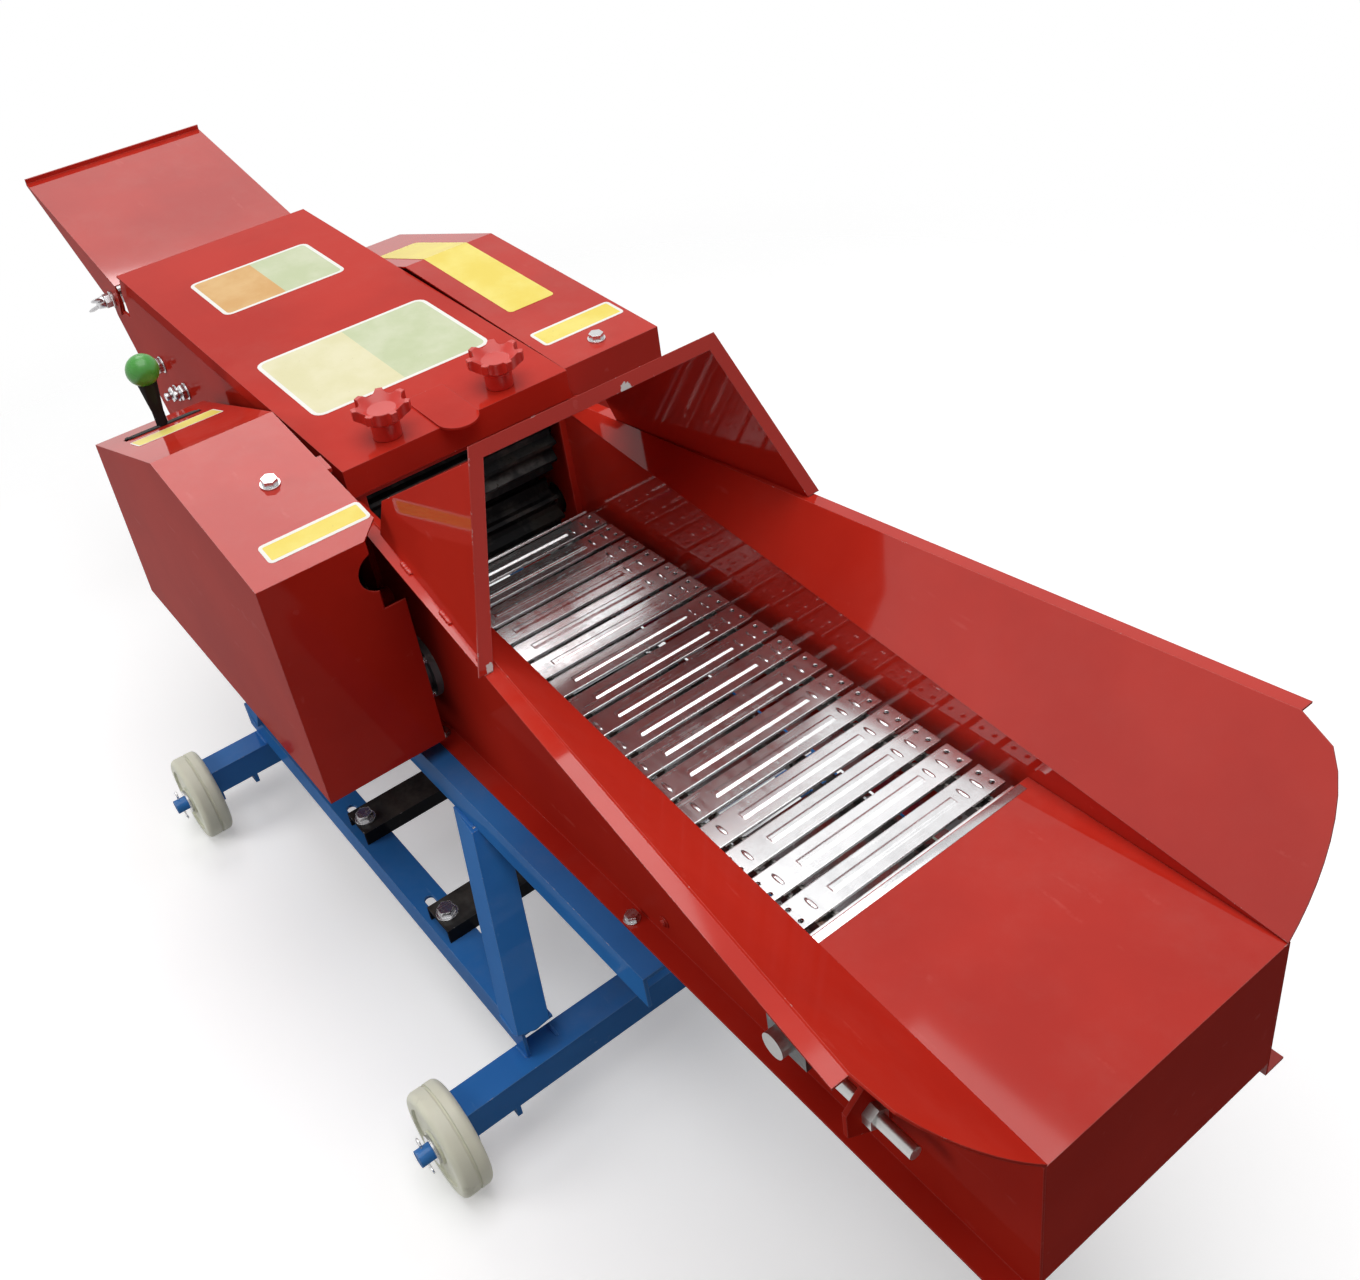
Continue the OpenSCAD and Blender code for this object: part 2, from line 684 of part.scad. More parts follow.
// Feed hood: a sloping roof and two leaning cheeks that stand on the trough's lips, with a rim turned out
// round the front. A cheek is the plane through its two roof corners and its front foot.
hood_rear_d = house_d - 88;
hood_front_d = hood_rear_d - 232;
hood_foot_d = hood_front_d - 52;
hood_top = deck_h + 298;
hood_rear_z = deck_h + 158;
hood_front_y = 128;
hood_rear_y = half_w + 8;
hood_foot_y = lip_y(hood_foot_d) + lip_w * 0.55;
hood_rim = 12;
hood_back = hood_rear_d - hood_front_d;
hood_drop = hood_rear_z - hood_top;
hood_lead = hood_foot_d - hood_front_d;
hood_fall = wall_top - hood_top;
hood_det = hood_back * hood_fall - hood_lead * hood_drop;
hood_yd = ((hood_rear_y - hood_front_y) * hood_fall - (hood_foot_y - hood_front_y) * hood_drop) / hood_det;
hood_yz = (hood_back * (hood_foot_y - hood_front_y) - hood_lead * (hood_rear_y - hood_front_y)) / hood_det;
function hood_y(d, z) = hood_front_y + hood_yd * (d - hood_front_d) + hood_yz * (z - hood_top);
function hood_roof(d) = hood_top + (d - hood_front_d) * hood_drop / hood_back;

// Solid under the hood's roof and between its cheeks, t inside them and longer by more at the open sides
module hood_block(t, more) {
  cheek = t * norm([1, hood_yd, hood_yz]);
  roof = t * norm([1, hood_drop / hood_back]);
  base = wall_top - more;
  ring = [[hood_foot_d - more, base], [hood_rear_d + more, base],
    [hood_rear_d + more, hood_roof(hood_rear_d + more) - roof],
    [hood_front_d - more, hood_roof(hood_front_d - more) - roof]];
  polyhedron(
    points = [for (s = [-1, 1], q = ring) [front_x - q[0], s * (hood_y(q[0], q[1]) - cheek), q[1]]],
    faces = [[0, 1, 2, 3], [7, 6, 5, 4], [0, 4, 5, 1], [1, 5, 6, 2], [2, 6, 7, 3], [3, 7, 4, 0]]);
}

module feed_hood() {
  front = function (z) hood_foot_d - 0.5 + (z - wall_top) * hood_lead / hood_fall;
  rim_base = wall_top + 1;
  rim_top = hood_top + 2 * hood_rim;
  color(paint) difference() {
    union() {
      hood_block(0, 0);
      intersection() {
        hood_block(-hood_rim, 30);
        side_plate([[front(rim_base), rim_base], [front(rim_top), rim_top], [front(rim_top) + sheet, rim_top],
          [front(rim_base) + sheet, rim_base]], -guard_y, guard_y);
      }
    }
    hood_block(sheet, 60);
  }
}

// Take-up of the idler shaft: blocks that slide along the walls, and the screws that pull them forward
module takeup_blocks() {
  color(dark) both_sides() difference() {
    box(idler_d - takeup_block / 2, idler_d + takeup_block / 2, wall_out, wall_out + 26,
      conveyor_z - takeup_block / 2, conveyor_z + takeup_block / 2);
    rod_y([idler_d, conveyor_z], idler_shaft_dia + 2 * play, wall_out - 1, wall_out + 27);
  }
}

module takeup_screws() {
  start = front_x - idler_d + takeup_block / 2;
  nut_h = 10;
  color(steel) both_sides() {
    translate([start, screw_y, conveyor_z]) rotate([0, 90, 0])
      cylinder(d = takeup_screw_dia, h = takeup_reach - takeup_block / 2 + 52);
    at(idler_d - takeup_reach - bracket_t, screw_y, conveyor_z) rotate([0, 90, 0]) difference() {
      cylinder(d = 1.8 * takeup_screw_dia, h = nut_h, $fn = 6);
      translate([0, 0, -1]) cylinder(d = takeup_screw_dia, h = nut_h + 2);
    }
  }
}

// Sprocket with a round seat for each chain roller
chain_roller_dia = 12;
sprocket_w = 8;
module sprocket(axis, y) {
  at(axis[0], y - sprocket_w / 2, axis[1]) rotate([-90, 0, 0]) linear_extrude(sprocket_w) difference() {
    circle(r = pitch_r + 3.4);
    for (k = [0 : sprocket_teeth - 1]) rotate(turn / 2 + k * turn) translate([0, pitch_r])
      circle(d = chain_roller_dia + 1.2);
  }
}

idler_end = wall_out + 40;
module idler_shaft() {
  axis = [idler_d, conveyor_z];
  color(steel) {
    rod_y(axis, idler_shaft_dia, -idler_end, idler_end);
    both_sides() {
      sprocket(axis, chain_y);
      rod_y(axis, 2 * idler_shaft_dia, chain_y - 16, chain_y + 16);
    }
  }
}

module drive_shaft() {
  color(steel) {
    rod_y(drive_axis, drive_shaft_dia, -layer_roller - roller_gear_w - 4, wall_out + bearing_w + 6);
    both_sides() {
      sprocket(drive_axis, chain_y);
      rod_y(drive_axis, 1.7 * drive_shaft_dia, chain_y - 16, chain_y + 16);
    }
  }
}

// Flanged bearing on the outside of a wall at y, for a shaft along Y
module flange_bearing(axis, shaft, y, w) {
  difference() {
    union() {
      rod_y(axis, 1.9 * shaft, y, y + w);
      rod_y(axis, 2.6 * shaft, y, y + w / 3);
    }
    rod_y(axis, shaft + 2 * play, y - 1, y + w + 1);
  }
}

module drive_bearings() {
  color(dark) both_sides() flange_bearing(drive_axis, drive_shaft_dia, wall_out, bearing_w);
}

module conveyor_gear() {
  color(dark) gear(drive_axis, roller_module, conveyor_teeth, roller_gear_w, layer_roller, drive_shaft_dia,
    conveyor_phase);
}

// Places of the links round the loop: [shaft place, turn of the link, offset along the run]
function loop_places() = concat(
  [for (k = [0 : run_links]) [idler_d + k * pitch, 0]],
  [for (k = [1 : wrap_links]) [drive_d, k * turn]],
  [for (k = [0 : run_links]) [drive_d - k * pitch, 180]],
  [for (k = [1 : wrap_links]) [idler_d, 180 + k * turn]]);

module on_loop(place) {
  at(place[0], 0, conveyor_z) rotate([0, -place[1], 0]) translate([0, 0, apothem]) children();
}

// Chain link: two plates with a pad for the slat, joined by tubes on inner links and by pins on outer links
link_plate = 2.5;
link_h = 16;
link_pin_dia = 6;
module chain_link(outer) {
  inner_face = outer ? chain_roller_dia / 2 + 1.8 : chain_roller_dia / 2 - 1;
  for (s = [-1, 1]) translate([0, s < 0 ? -inner_face : inner_face + link_plate, 0]) rotate([90, 0, 0])
    linear_extrude(link_plate) difference() {
      union() {
        square([pitch, link_h], center = true);
        for (e = [-1, 1]) translate([e * pitch / 2, 0]) circle(d = link_h);
        translate([-pitch * 0.3, 0]) square([pitch * 0.6, slat_seat]);
      }
      if (!outer) for (e = [-1, 1]) translate([e * pitch / 2, 0]) circle(d = link_pin_dia + 2 * gap);
    }
  for (e = [-1, 1]) translate([e * pitch / 2, inner_face, 0]) rotate([90, 0, 0]) difference() {
    cylinder(d = outer ? link_pin_dia : chain_roller_dia, h = 2 * inner_face);
    if (!outer) translate([0, 0, -1]) cylinder(d = link_pin_dia + 2 * gap, h = 2 * inner_face + 2);
  }
}

module conveyor_chains() {
  places = loop_places();
  color(dark) for (s = [-1, 1], k = [0 : len(places) - 1]) translate([0, s * chain_y, 0])
    on_loop(places[k]) chain_link(k % 2 == 1);
}

// Slat: a flat bar with a rib pressed along its middle and two rivet holes at each end
module slat() {
  hole_x = slat_w / 4;
  translate([0, 0, slat_seat]) difference() {
    union() {
      translate([-slat_w / 2, -slat_len / 2, 0]) cube([slat_w, slat_len, slat_t]);
      translate([0, slat_len * 0.3, slat_t]) rotate([90, 0, 0]) linear_extrude(slat_len * 0.6)
        polygon([[-slat_w * 0.16, -0.1], [-slat_w * 0.08, rib_rise], [slat_w * 0.08, rib_rise],
          [slat_w * 0.16, -0.1]]);
    }
    for (s = [-1, 1], e = [-1, 1]) translate([e * hole_x, s * (slat_len / 2 - 9), -1])
      cylinder(d = 5, h = slat_t + 2);
  }
}

module slats_top() {
  color(steel) for (p = loop_places()) if (p[1] == 0) on_loop(p) slat();
}

module slats_return() {
  color(steel) for (p = loop_places()) if (p[1] != 0) on_loop(p) slat();
}

// Housing side plate, with an ear for the chute and guides for the upper roller's bearing block
block_w = 70;
block_h = 62;
guide_w = 12;
guide_y = plate_out + bearing_w - 2;
hinge_drop = 14;
hinge_d = house_rear_d - 4;
hinge_z = cover_z(hinge_d) - cover_t - hinge_drop;
module housing_plate(side) {
  top = function (d) cover_z(d) - cover_t - gap;
  color(paint) {
    difference() {
      union() {
        side_plate([[house_d, house_base], [house_d, top(house_d)], [hinge_d, top(hinge_d)],
          [hinge_d + hinge_drop * 0.9, hinge_z - 5], [chute_pivot_d - chute_clear, chute_pivot_z + 20],
          [chute_pivot_d - chute_clear, chute_pivot_z - 16], [ear_d, chute_pivot_z - 16],
          [ear_d, chute_pivot_z - 34], [house_rear_d - 150, house_base]], plate_in, plate_out);
        rod_y([chute_pivot_d, chute_pivot_z], 2 * ear_r, plate_in, plate_out);
      }
      rod_y(rotor_axis, main_shaft_dia + 10, 0, plate_out + 1);
      rod_y(lower_axis, roller_shaft_dia + 8, 0, plate_out + 1);
      box(roller_d - roller_shaft_dia / 2 - 2, roller_d + roller_shaft_dia / 2 + 2, 0, plate_out + 1,
        upper_z - roller_shaft_dia / 2 - 2, upper_z + roller_lift + roller_shaft_dia / 2 + 2);
      rod_y([chute_pivot_d, chute_pivot_z], chute_pin_dia + 2 * play, 0, plate_out + 1);
      if (side < 0) rod_y(counter_axis, counter_shaft_dia + 8, 0, plate_out + 1);
    }
    for (s = [-1, 1]) box(roller_d + s * (block_w / 2 + gap + guide_w / 2) - guide_w / 2,
      roller_d + s * (block_w / 2 + gap + guide_w / 2) + guide_w / 2, plate_out - 0.5, guide_y,
      upper_z - block_h / 2 - 8, upper_z + block_h / 2);
    box(roller_d - block_w / 2 - guide_w, roller_d + block_w / 2 + guide_w, plate_out - 0.5, guide_y,
      upper_z - block_h / 2 - gap - 8, upper_z - block_h / 2 - gap);
  }
}

lever_bracket_d = lever_d + 30;
lever_bracket_t = 6;
module housing_near_plate() {
  mirror([0, 1, 0]) housing_plate(-1);
  color(paint) box(lever_bracket_d, lever_bracket_d + lever_bracket_t, -fork_y - 22, -plate_out + 0.5,
    lever_pivot_z - 24, lever_pivot_z + 24);
  color(steel) translate([front_x - lever_bracket_d - 0.5, -fork_y, lever_pivot_z]) rotate([0, 90, 0])
    cylinder(d = lever_pin_dia, h = lever_bracket_d - lever_d + 20);
  color(paint) guard_bracket(-1, guard_bolt_d, guard_bolt_y,
    guard_top(guard_bolt_d) - sheet / cos(guard_slope));
}

module housing_far_plate() {
  housing_plate(1);
  color(paint) guard_bracket(1, belt_bolt_d, belt_bolt_y, belt_top(belt_bolt_d) - sheet / cos(belt_slope));
}

// Brackets that carry the guards, each with a lug welded to the housing plate
guard_slope = atan2(guard_ridge_rise - guard_front_rise, guard_ridge_d - guard_d);
belt_slope = atan2(belt_outline[2][1] - belt_outline[1][1], belt_outline[2][0] - belt_outline[1][0]);
function guard_top(d) = deck_h + guard_front_rise + (d - guard_d) * tan(guard_slope);
function belt_top(d) = belt_outline[1][1] + (d - belt_guard_d) * tan(belt_slope);
guard_bolt_d = house_d + 16;
guard_bolt_y = 219;
belt_bolt_d = house_d + 32;
belt_bolt_y = 216;
module guard_bracket(side, d, y, top) {
  slope = side < 0 ? guard_slope : belt_slope;
  tab = 26;
  tab_t = 5;
  rise = tab / 2 * tan(slope);
  post_in = plate_out + 10;
  post_out = plate_out + 20;
  foot = cover_z(d) - cover_side_lip - 8;
  mirror([0, side < 0 ? 1 : 0, 0]) {
    side_plate([[d - tab / 2, top - rise], [d + tab / 2, top + rise], [d + tab / 2, top + rise - tab_t],
      [d - tab / 2, top - rise - tab_t]], post_in, y + tab / 2);
    box(d - 3, d + 3, post_in, post_out, foot - 30, top - 2);
    box(d - 3, d + 3, plate_out - 0.5, post_out, foot - 30, foot);
  }
}

// Front panel of the housing round the mouth, with a flange at its top for the knobs' studs
module throat_panel() {
  top = cover_z(house_d) - cover_t - gap - 2;
  color(paint) difference() {
    union() {
      box(house_d, house_d + plate_t, -plate_in, plate_in, house_base, top);
      box(house_d, house_d + 46, -plate_in, plate_in, top - plate_t, top);
    }
    both_sides() at(knob_d, knob_y, top - 20) cylinder(d = stud_dia + 8, h = 40);
    box(house_d - 1, house_d + plate_t + 1, -half_w + 8, half_w - 8, slat_top - 12, deck_h + mouth_rise);
    box(house_d - 1, house_d + plate_t + 1, -half_w + 8, half_w - 8, conveyor_z - 40, slat_top);
  }
}

// Casing under the rotor: a round trough, then a floor that leaves it on a tangent and rises to the outlet
casing_front = -22;
outlet_end = [house_rear_d + 20, deck_h + 62];
outlet_run = outlet_end - rotor_axis;
casing_rear = atan2(outlet_run[1], -outlet_run[0]) + acos(casing_r / norm(outlet_run)) - 360;
module rotor_casing() {
  floor_len = sqrt(pow(norm(outlet_run), 2) - casing_r * casing_r);
  color(paint) at(rotor_d, plate_in, rotor_z) rotate([90, 0, 0]) {
    rotate([0, 0, casing_rear]) rotate_extrude(angle = casing_front - casing_rear, $fn = 96)
      translate([casing_r, 0]) square([sheet, 2 * plate_in]);
    rotate([0, 0, casing_rear]) translate([casing_r, -floor_len, 0])
      cube([sheet, floor_len - gap, 2 * plate_in]);
  }
}

// Hinged cover with lips on three sides, a lifting tongue at the front and two straps round the hinge rod
tongue_w = 50;
tongue_out = 22;
strap_w = 30;
strap_y = 70;
knob_d = house_d + 26;
module top_cover() {
  front = house_d - 5;
  y = plate_out + gap + cover_t;
  under = function (d) cover_z(d) - cover_t;
  lip_end = hinge_d - 26;
  color(paint) difference() {
    union() {
      side_plate([[front, cover_z(front)], [hinge_d, cover_z(hinge_d)], [hinge_d, under(hinge_d)],
        [front, under(front)]], -y, y);
      box(front, front + cover_t, -y, y, cover_z(front) - cover_lip, cover_z(front) - 0.5);
      both_sides() side_plate([[front, cover_z(front) - 0.5], [lip_end, cover_z(lip_end) - 0.5],
        [lip_end, cover_z(lip_end) - cover_side_lip], [front, cover_z(front) - cover_side_lip]],
        y - cover_t, y);
      at(front, 0, cover_z(front)) rotate([0, cover_slope, 0]) translate([-80, 0, -0.5])
        linear_extrude(3) union() {
        translate([0, -tongue_w / 2]) square([80 + tongue_out - tongue_w / 2, tongue_w]);
        translate([80 + tongue_out - tongue_w / 2, 0]) circle(d = tongue_w);
      }
      both_sides() {
        rod_y([hinge_d, hinge_z], hinge_rod_dia + 10, strap_y, strap_y + strap_w);
        box(hinge_d - 9, hinge_d, strap_y, strap_y + strap_w, hinge_z, under(hinge_d) + 0.3);
      }
    }
    rod_y([hinge_d, hinge_z], hinge_rod_dia + 2 * play, -plate_in, plate_in);
    both_sides() at(knob_d, knob_y, cover_z(knob_d)) rotate([0, cover_slope, 0])
      cylinder(d = stud_dia + 2 * play, h = 40, center = true);
  }
}

module hinge_rod() {
  color(steel) rod_y([hinge_d, hinge_z], hinge_rod_dia, -plate_in, plate_in);
}

// Star knob: a crown of pointed lobes round a dished top, on a necked foot with its stud
knob_lobes = 7;
module star_knob(side) {
  neck = knob_dia * 0.5;
  head = knob_h * 0.52;
  scallop = knob_dia * 0.175;
  color("red") at(knob_d, side * knob_y, cover_z(knob_d)) rotate([0, cover_slope, 0]) {
    translate([0, 0, gap]) cylinder(d = neck, h = knob_h - head);
    translate([0, 0, knob_h - head]) difference() {
      cylinder(d = knob_dia, h = head);
      difference() {
        translate([0, 0, -1]) cylinder(d = 2 * knob_dia, h = head * 0.55 + 1);
        translate([0, 0, -1]) cylinder(d1 = neck * 0.96, d2 = knob_dia * 1.04, h = head * 0.55 + 1);
      }
      for (k = [0 : knob_lobes - 1]) rotate((k + 0.5) * 360 / knob_lobes) translate([knob_dia * 0.545, 0, -1])
        cylinder(r = scallop, h = head + 2);
      translate([0, 0, head * 0.62]) cylinder(d1 = knob_dia * 0.5, d2 = knob_dia * 0.86, h = head * 0.39);
    }
  }
  color(steel) at(knob_d, side * knob_y, cover_z(knob_d)) rotate([0, cover_slope, 0]) translate([0, 0, -14])
    cylinder(d = stud_dia, h = 18);
}

// Discharge chute: a plate with tapered side flanges and a lip at its end, hung on two pivot bolts
module chute() {
  y = plate_out + gap;
  len_back = chute_len - chute_lead;
  color(paint) at(chute_pivot_d, 0, chute_pivot_z) rotate([0, chute_angle, 0]) mirror([1, 0, 0])
    difference() {
    union() {
      translate([-chute_lead, -y - sheet, chute_lift - sheet]) cube([chute_len, 2 * y + 2 * sheet, sheet]);
      translate([len_back - sheet, -y - sheet, chute_lift - 0.5]) cube([sheet, 2 * y + 2 * sheet, 8]);
      both_sides() translate([0, y + sheet, 0]) rotate([90, 0, 0]) linear_extrude(sheet) polygon([
        [-chute_lead, chute_lift - 0.5], [-chute_lead, chute_lift - 22], [-18, chute_lift - chute_flange],
        [22, chute_lift - chute_flange], [len_back, chute_lift - 4], [len_back, chute_lift - 0.5]]);
    }
    rotate([90, 0, 0]) translate([0, 0, -2 * y]) cylinder(d = chute_pin_dia + 2 * play, h = 4 * y);
  }
}

module chute_pivots() {
  end = plate_out + gap + sheet;
  axis = [chute_pivot_d, chute_pivot_z];
  color(steel) both_sides() {
    rod_y(axis, chute_pin_dia, plate_in - 2, end + 24);
    rod_y(axis, 2 * chute_pin_dia, end + gap, end + gap + 3);
    for (y = [end + gap + 3, plate_in - 10]) at(axis[0], y, axis[1]) rotate([-90, 0, 0])
      cylinder(d = 1.8 * chute_pin_dia, h = 10, $fn = 6);
  }
}

// Gear guard: a sheet box, open toward the housing, with a slot for the lever and a round notch in front
slot_w = 16;
notch_dia = 48;
module gear_guard() {
  inside = inset(guard_outline, sheet);
  facet = deck_h + guard_ridge_rise - (lever_d - guard_ridge_d) * (guard_ridge_rise - guard_rear_rise)
    / (guard_rear_d - guard_ridge_d);
  slot_half = (facet - lever_pivot_z) * tan(lever_swing) + stem_dia * 0.65;
  color(paint) difference() {
    side_plate(guard_outline, -guard_y, -guard_inner_y);
    side_plate(inside, -guard_y + sheet, -guard_inner_y + 1);
    box(lever_d - slot_w / 2, lever_d + slot_w / 2, -fork_y - slot_half, -fork_y + slot_half,
      lever_pivot_z + 60, deck_h + guard_ridge_rise + 1);
    at(guard_d + 5, -guard_inner_y - 18, deck_h + guard_front_rise - 40) rotate([0, 90, 0])
      cylinder(d = notch_dia, h = 10);
    box(guard_d - 1, guard_d + 5, -guard_inner_y - 18, -guard_inner_y + 1,
      deck_h + guard_front_rise - 40 - notch_dia / 2, deck_h + guard_front_rise - 40 + notch_dia / 2);
    translate([front_x - guard_d, -guard_inner_y, deck_h]) rotate([0, 0, 45])
      translate([-18, -18, 60]) cube([36, 36, 200]);
  }
}

// Belt guard: a sheet box, open toward the housing and below for the belt
module belt_guard() {
  inside = inset(belt_outline, sheet);
  low = inside[0][1];
  color(paint) difference() {
    side_plate(belt_outline, belt_guard_inner, belt_guard_y);
    side_plate(inside, belt_guard_inner - 1, belt_guard_y - sheet);
    box(inside[0][0], inside[4][0], belt_guard_inner - 1, belt_guard_y - sheet, low - sheet - 2, low + 1);
  }
}

// Rotor
module main_bearings() {
  color(dark) both_sides() difference() {
    union() {
      rod_y(rotor_axis, 2 * main_shaft_dia, plate_out, plate_out + 40);
      rod_y(rotor_axis, 3 * main_shaft_dia, plate_out, plate_out + 14);
    }
    rod_y(rotor_axis, main_shaft_dia + 2 * play, plate_out - 1, plate_out + 41);
  }
  color(dark) mirror([0, 1, 0]) {
    flange_bearing(lower_axis, roller_shaft_dia, plate_out, bearing_w - 2);
    flange_bearing(counter_axis, counter_shaft_dia, plate_out, bearing_w - 2);
  }
  color(dark) flange_bearing(lower_axis, roller_shaft_dia, plate_out, bearing_w - 2);
}

pulley_y = plate_out + 40 + 6;
module main_shaft() {
  color(steel) rod_y(rotor_axis, main_shaft_dia, -layer_counter - gear_w - 3, pulley_y + pulley_w + 8);
  color(dark) gear(rotor_axis, gear_module, pinion_teeth, gear_w, layer_counter, main_shaft_dia, to_counter);
}

// Place of knife k: its edge at the origin, its width along -X and its face on +Y
module at_knife(k) {
  rotate(k * 360 / knife_count + 35) translate([rotor_r, 0]) rotate(180 - knife_rake) children();
}

disc_t = 14;
disc_r = 104;
drum_half = half_w - 8;
disc_places = [-drum_half + 22, 0, drum_half - 22];
bolt_dia = 12;
bolt_from_edge = [knife_w * 0.45, knife_w * 0.78];
module knife_drum() {
  color(dark) for (y = disc_places) at(rotor_d, y + disc_t / 2, rotor_z) rotate([90, 0, 0])
    linear_extrude(disc_t) difference() {
      union() {
        circle(r = disc_r);
        for (k = [0 : knife_count - 1]) at_knife(k)
          polygon([[knife_w * 0.25, 0], [knife_w + 4, 0], [knife_w + 18, 30], [knife_w * 0.6, 46]]);
      }
      circle(d = main_shaft_dia);
      for (k = [0 : knife_count - 1]) rotate(k * 360 / knife_count - 10) translate([disc_r * 0.62, 0])
        circle(d = 40);
    }
}

module knives() {
  color(steel) for (k = [0 : knife_count - 1]) at(rotor_d, drum_half, rotor_z) rotate([90, 0, 0])
    linear_extrude(2 * drum_half) at_knife(k)
      polygon([[0, 0], [knife_w, 0], [knife_w, -knife_t], [knife_w * 0.2, -knife_t]]);
}

module knife_bolts() {
  color(dark) for (k = [0 : knife_count - 1], y = disc_places, u = bolt_from_edge)
    at(rotor_d, y, rotor_z) rotate([90, 0, 0]) at_knife(k) translate([u, -knife_t, 0]) rotate([90, 0, 0])
      bolt_head(bolt_dia);
}

module driven_pulley() {
  rim = 18;
  groove = 13;
  color(dark) at(rotor_d, pulley_y, rotor_z) rotate([-90, 0, 0]) difference() {
    rotate_extrude($fn = 96) difference() {
      translate([main_shaft_dia / 2, 0]) square([pulley_r - main_shaft_dia / 2, pulley_w]);
      for (f = [0.27, 0.73]) translate([pulley_r, pulley_w * f])
        polygon([[1, -9], [1, 9], [-groove, 5], [-groove, -5]]);
      for (h = [-1, pulley_w / 2 + 5]) translate([main_shaft_dia, h])
        square([pulley_r - groove - rim - main_shaft_dia, pulley_w / 2 - 4]);
    }
    for (k = [0 : 5]) rotate(k * 60) translate([(main_shaft_dia + pulley_r - groove - rim) / 2, 0, -1])
      cylinder(d = 30, h = pulley_w + 2);
  }
}

// Bed knife between the lower roller and the rotor, with a bevelled top edge
module bed_knife() {
  low = rotor_z - 24;
  color(steel) side_plate([[bed_edge, bed_top], [bed_back + 4, bed_top - 3], [bed_back, bed_top - 12],
    [bed_back, low], [bed_edge - 10, low], [bed_edge - 4, rotor_z]], -plate_in, plate_in);
}

// Toothed feed roller with a star section
roller_half = half_w - 12;
module toothed_roller(axis, r, teeth, y0, y1) {
  tooth = [[r - roller_tooth, -0.34], [r, -0.08], [r, 0.08], [r - roller_tooth, 0.34]];
  color(dark) {
    at(axis[0], roller_half, axis[1]) rotate([90, 0, 0]) linear_extrude(2 * roller_half)
      polygon([for (k = [0 : teeth - 1], e = tooth) let (a = (k + e[1]) * 360 / teeth)
        e[0] * [cos(a), sin(a)]]);
    rod_y(axis, roller_shaft_dia, y0, y1);
  }
}

module lower_roller() {
  toothed_roller(lower_axis, lower_r, 10, -shaft_end_y, plate_out + bearing_w + 4);
}

module lower_roller_gears() {
  color(dark) {
    gear(lower_axis, roller_module, roller_teeth, roller_gear_w, layer_roller, roller_shaft_dia, up_angle);
    gear(lower_axis, gear_module, slow_mate, gear_w, layer_slow, roller_shaft_dia, slow_phase);
    gear(lower_axis, gear_module, fast_mate, gear_w, layer_fast, roller_shaft_dia, fast_phase);
  }
}

module upper_roller() {
  toothed_roller(upper_axis, upper_r, 14, -layer_roller - roller_gear_w, plate_out + bearing_w + 4);
  color(dark) gear(upper_axis, roller_module, roller_teeth, roller_gear_w, layer_roller, roller_shaft_dia - 1,
    upper_phase);
}

module upper_bearing_blocks() {
  color(dark) both_sides() difference() {
    box(roller_d - block_w / 2, roller_d + block_w / 2, plate_out + gap, guide_y,
      upper_z - block_h / 2, upper_z + block_h / 2);
    rod_y(upper_axis, roller_shaft_dia + 2 * play, 0, guide_y + 1);
  }
}

module counter_shaft() {
  color(steel) rod_y(counter_axis, counter_shaft_dia, -shaft_end_y - 3, -plate_in);
  color(dark) gear(counter_axis, gear_module, counter_teeth, gear_w, layer_counter, counter_shaft_dia - 1,
    counter_phase);
}

// Shift pair: a slow and a fast gear on one hub, with a groove for the lever's pin
hub_dia = 56;
module shift_gears() {
  bore = counter_shaft_dia + 2 * play;
  color(steel) {
    gear(counter_axis, gear_module, slow_teeth, gear_w, layer_shift, bore, counter_to_lower);
    gear(counter_axis, gear_module, fast_teeth, gear_w, layer_shift + gear_w + fork_groove, bore,
      counter_to_lower);
    difference() {
      rod_y(counter_axis, hub_dia, -layer_shift - 2 * gear_w - fork_groove, -layer_shift);
      rod_y(counter_axis, bore, -layer_shift - 2 * gear_w - fork_groove - 1, -layer_shift + 1);
    }
  }
}

module feed_idler_gear() {
  color(dark) gear(idler_axis, roller_module, idler_teeth, roller_gear_w, layer_roller, stub_dia + 2 * play,
    idler_phase);
}

// Gear lever: a stem on the pivot pin, with an arm whose pin runs in the shift pair's groove
pin_dia = 6;
stem_dia = 14;
cone_start = 0.79;
module gear_lever() {
  reach = lever_d - counter_axis[0] - hub_dia / 2 - 3;
  color("black") difference() {
    union() {
      translate([front_x - lever_d - 10, -fork_y, lever_pivot_z]) rotate([0, 90, 0])
        cylinder(d = 2.2 * lever_pin_dia, h = 20);
      at(lever_d, -fork_y, lever_pivot_z) cylinder(d = stem_dia, h = lever_len - ball_dia * 0.3);
      at(lever_d, -fork_y, lever_pivot_z + lever_len * cone_start)
        cylinder(d1 = stem_dia, d2 = stem_dia * 1.7, h = lever_len * (1 - cone_start) - ball_dia * 0.42);
    }
    translate([front_x - lever_d - 11, -fork_y, lever_pivot_z]) rotate([0, 90, 0])
      cylinder(d = lever_pin_dia + 2 * play, h = 22);
  }
  color(steel) at(lever_d, -fork_y, counter_axis[1]) rotate([0, 90, 0]) cylinder(d = pin_dia, h = reach);
}

module lever_ball() {
  color("green") difference() {
    at(lever_d, -fork_y, lever_pivot_z + lever_len) sphere(d = ball_dia);
    at(lever_d, -fork_y, lever_pivot_z) cylinder(d = stem_dia, h = lever_len - ball_dia * 0.3);
    at(lever_d, -fork_y, lever_pivot_z + lever_len * cone_start)
      cylinder(d1 = stem_dia, d2 = stem_dia * 1.7, h = lever_len * (1 - cone_start) - ball_dia * 0.42);
  }
}

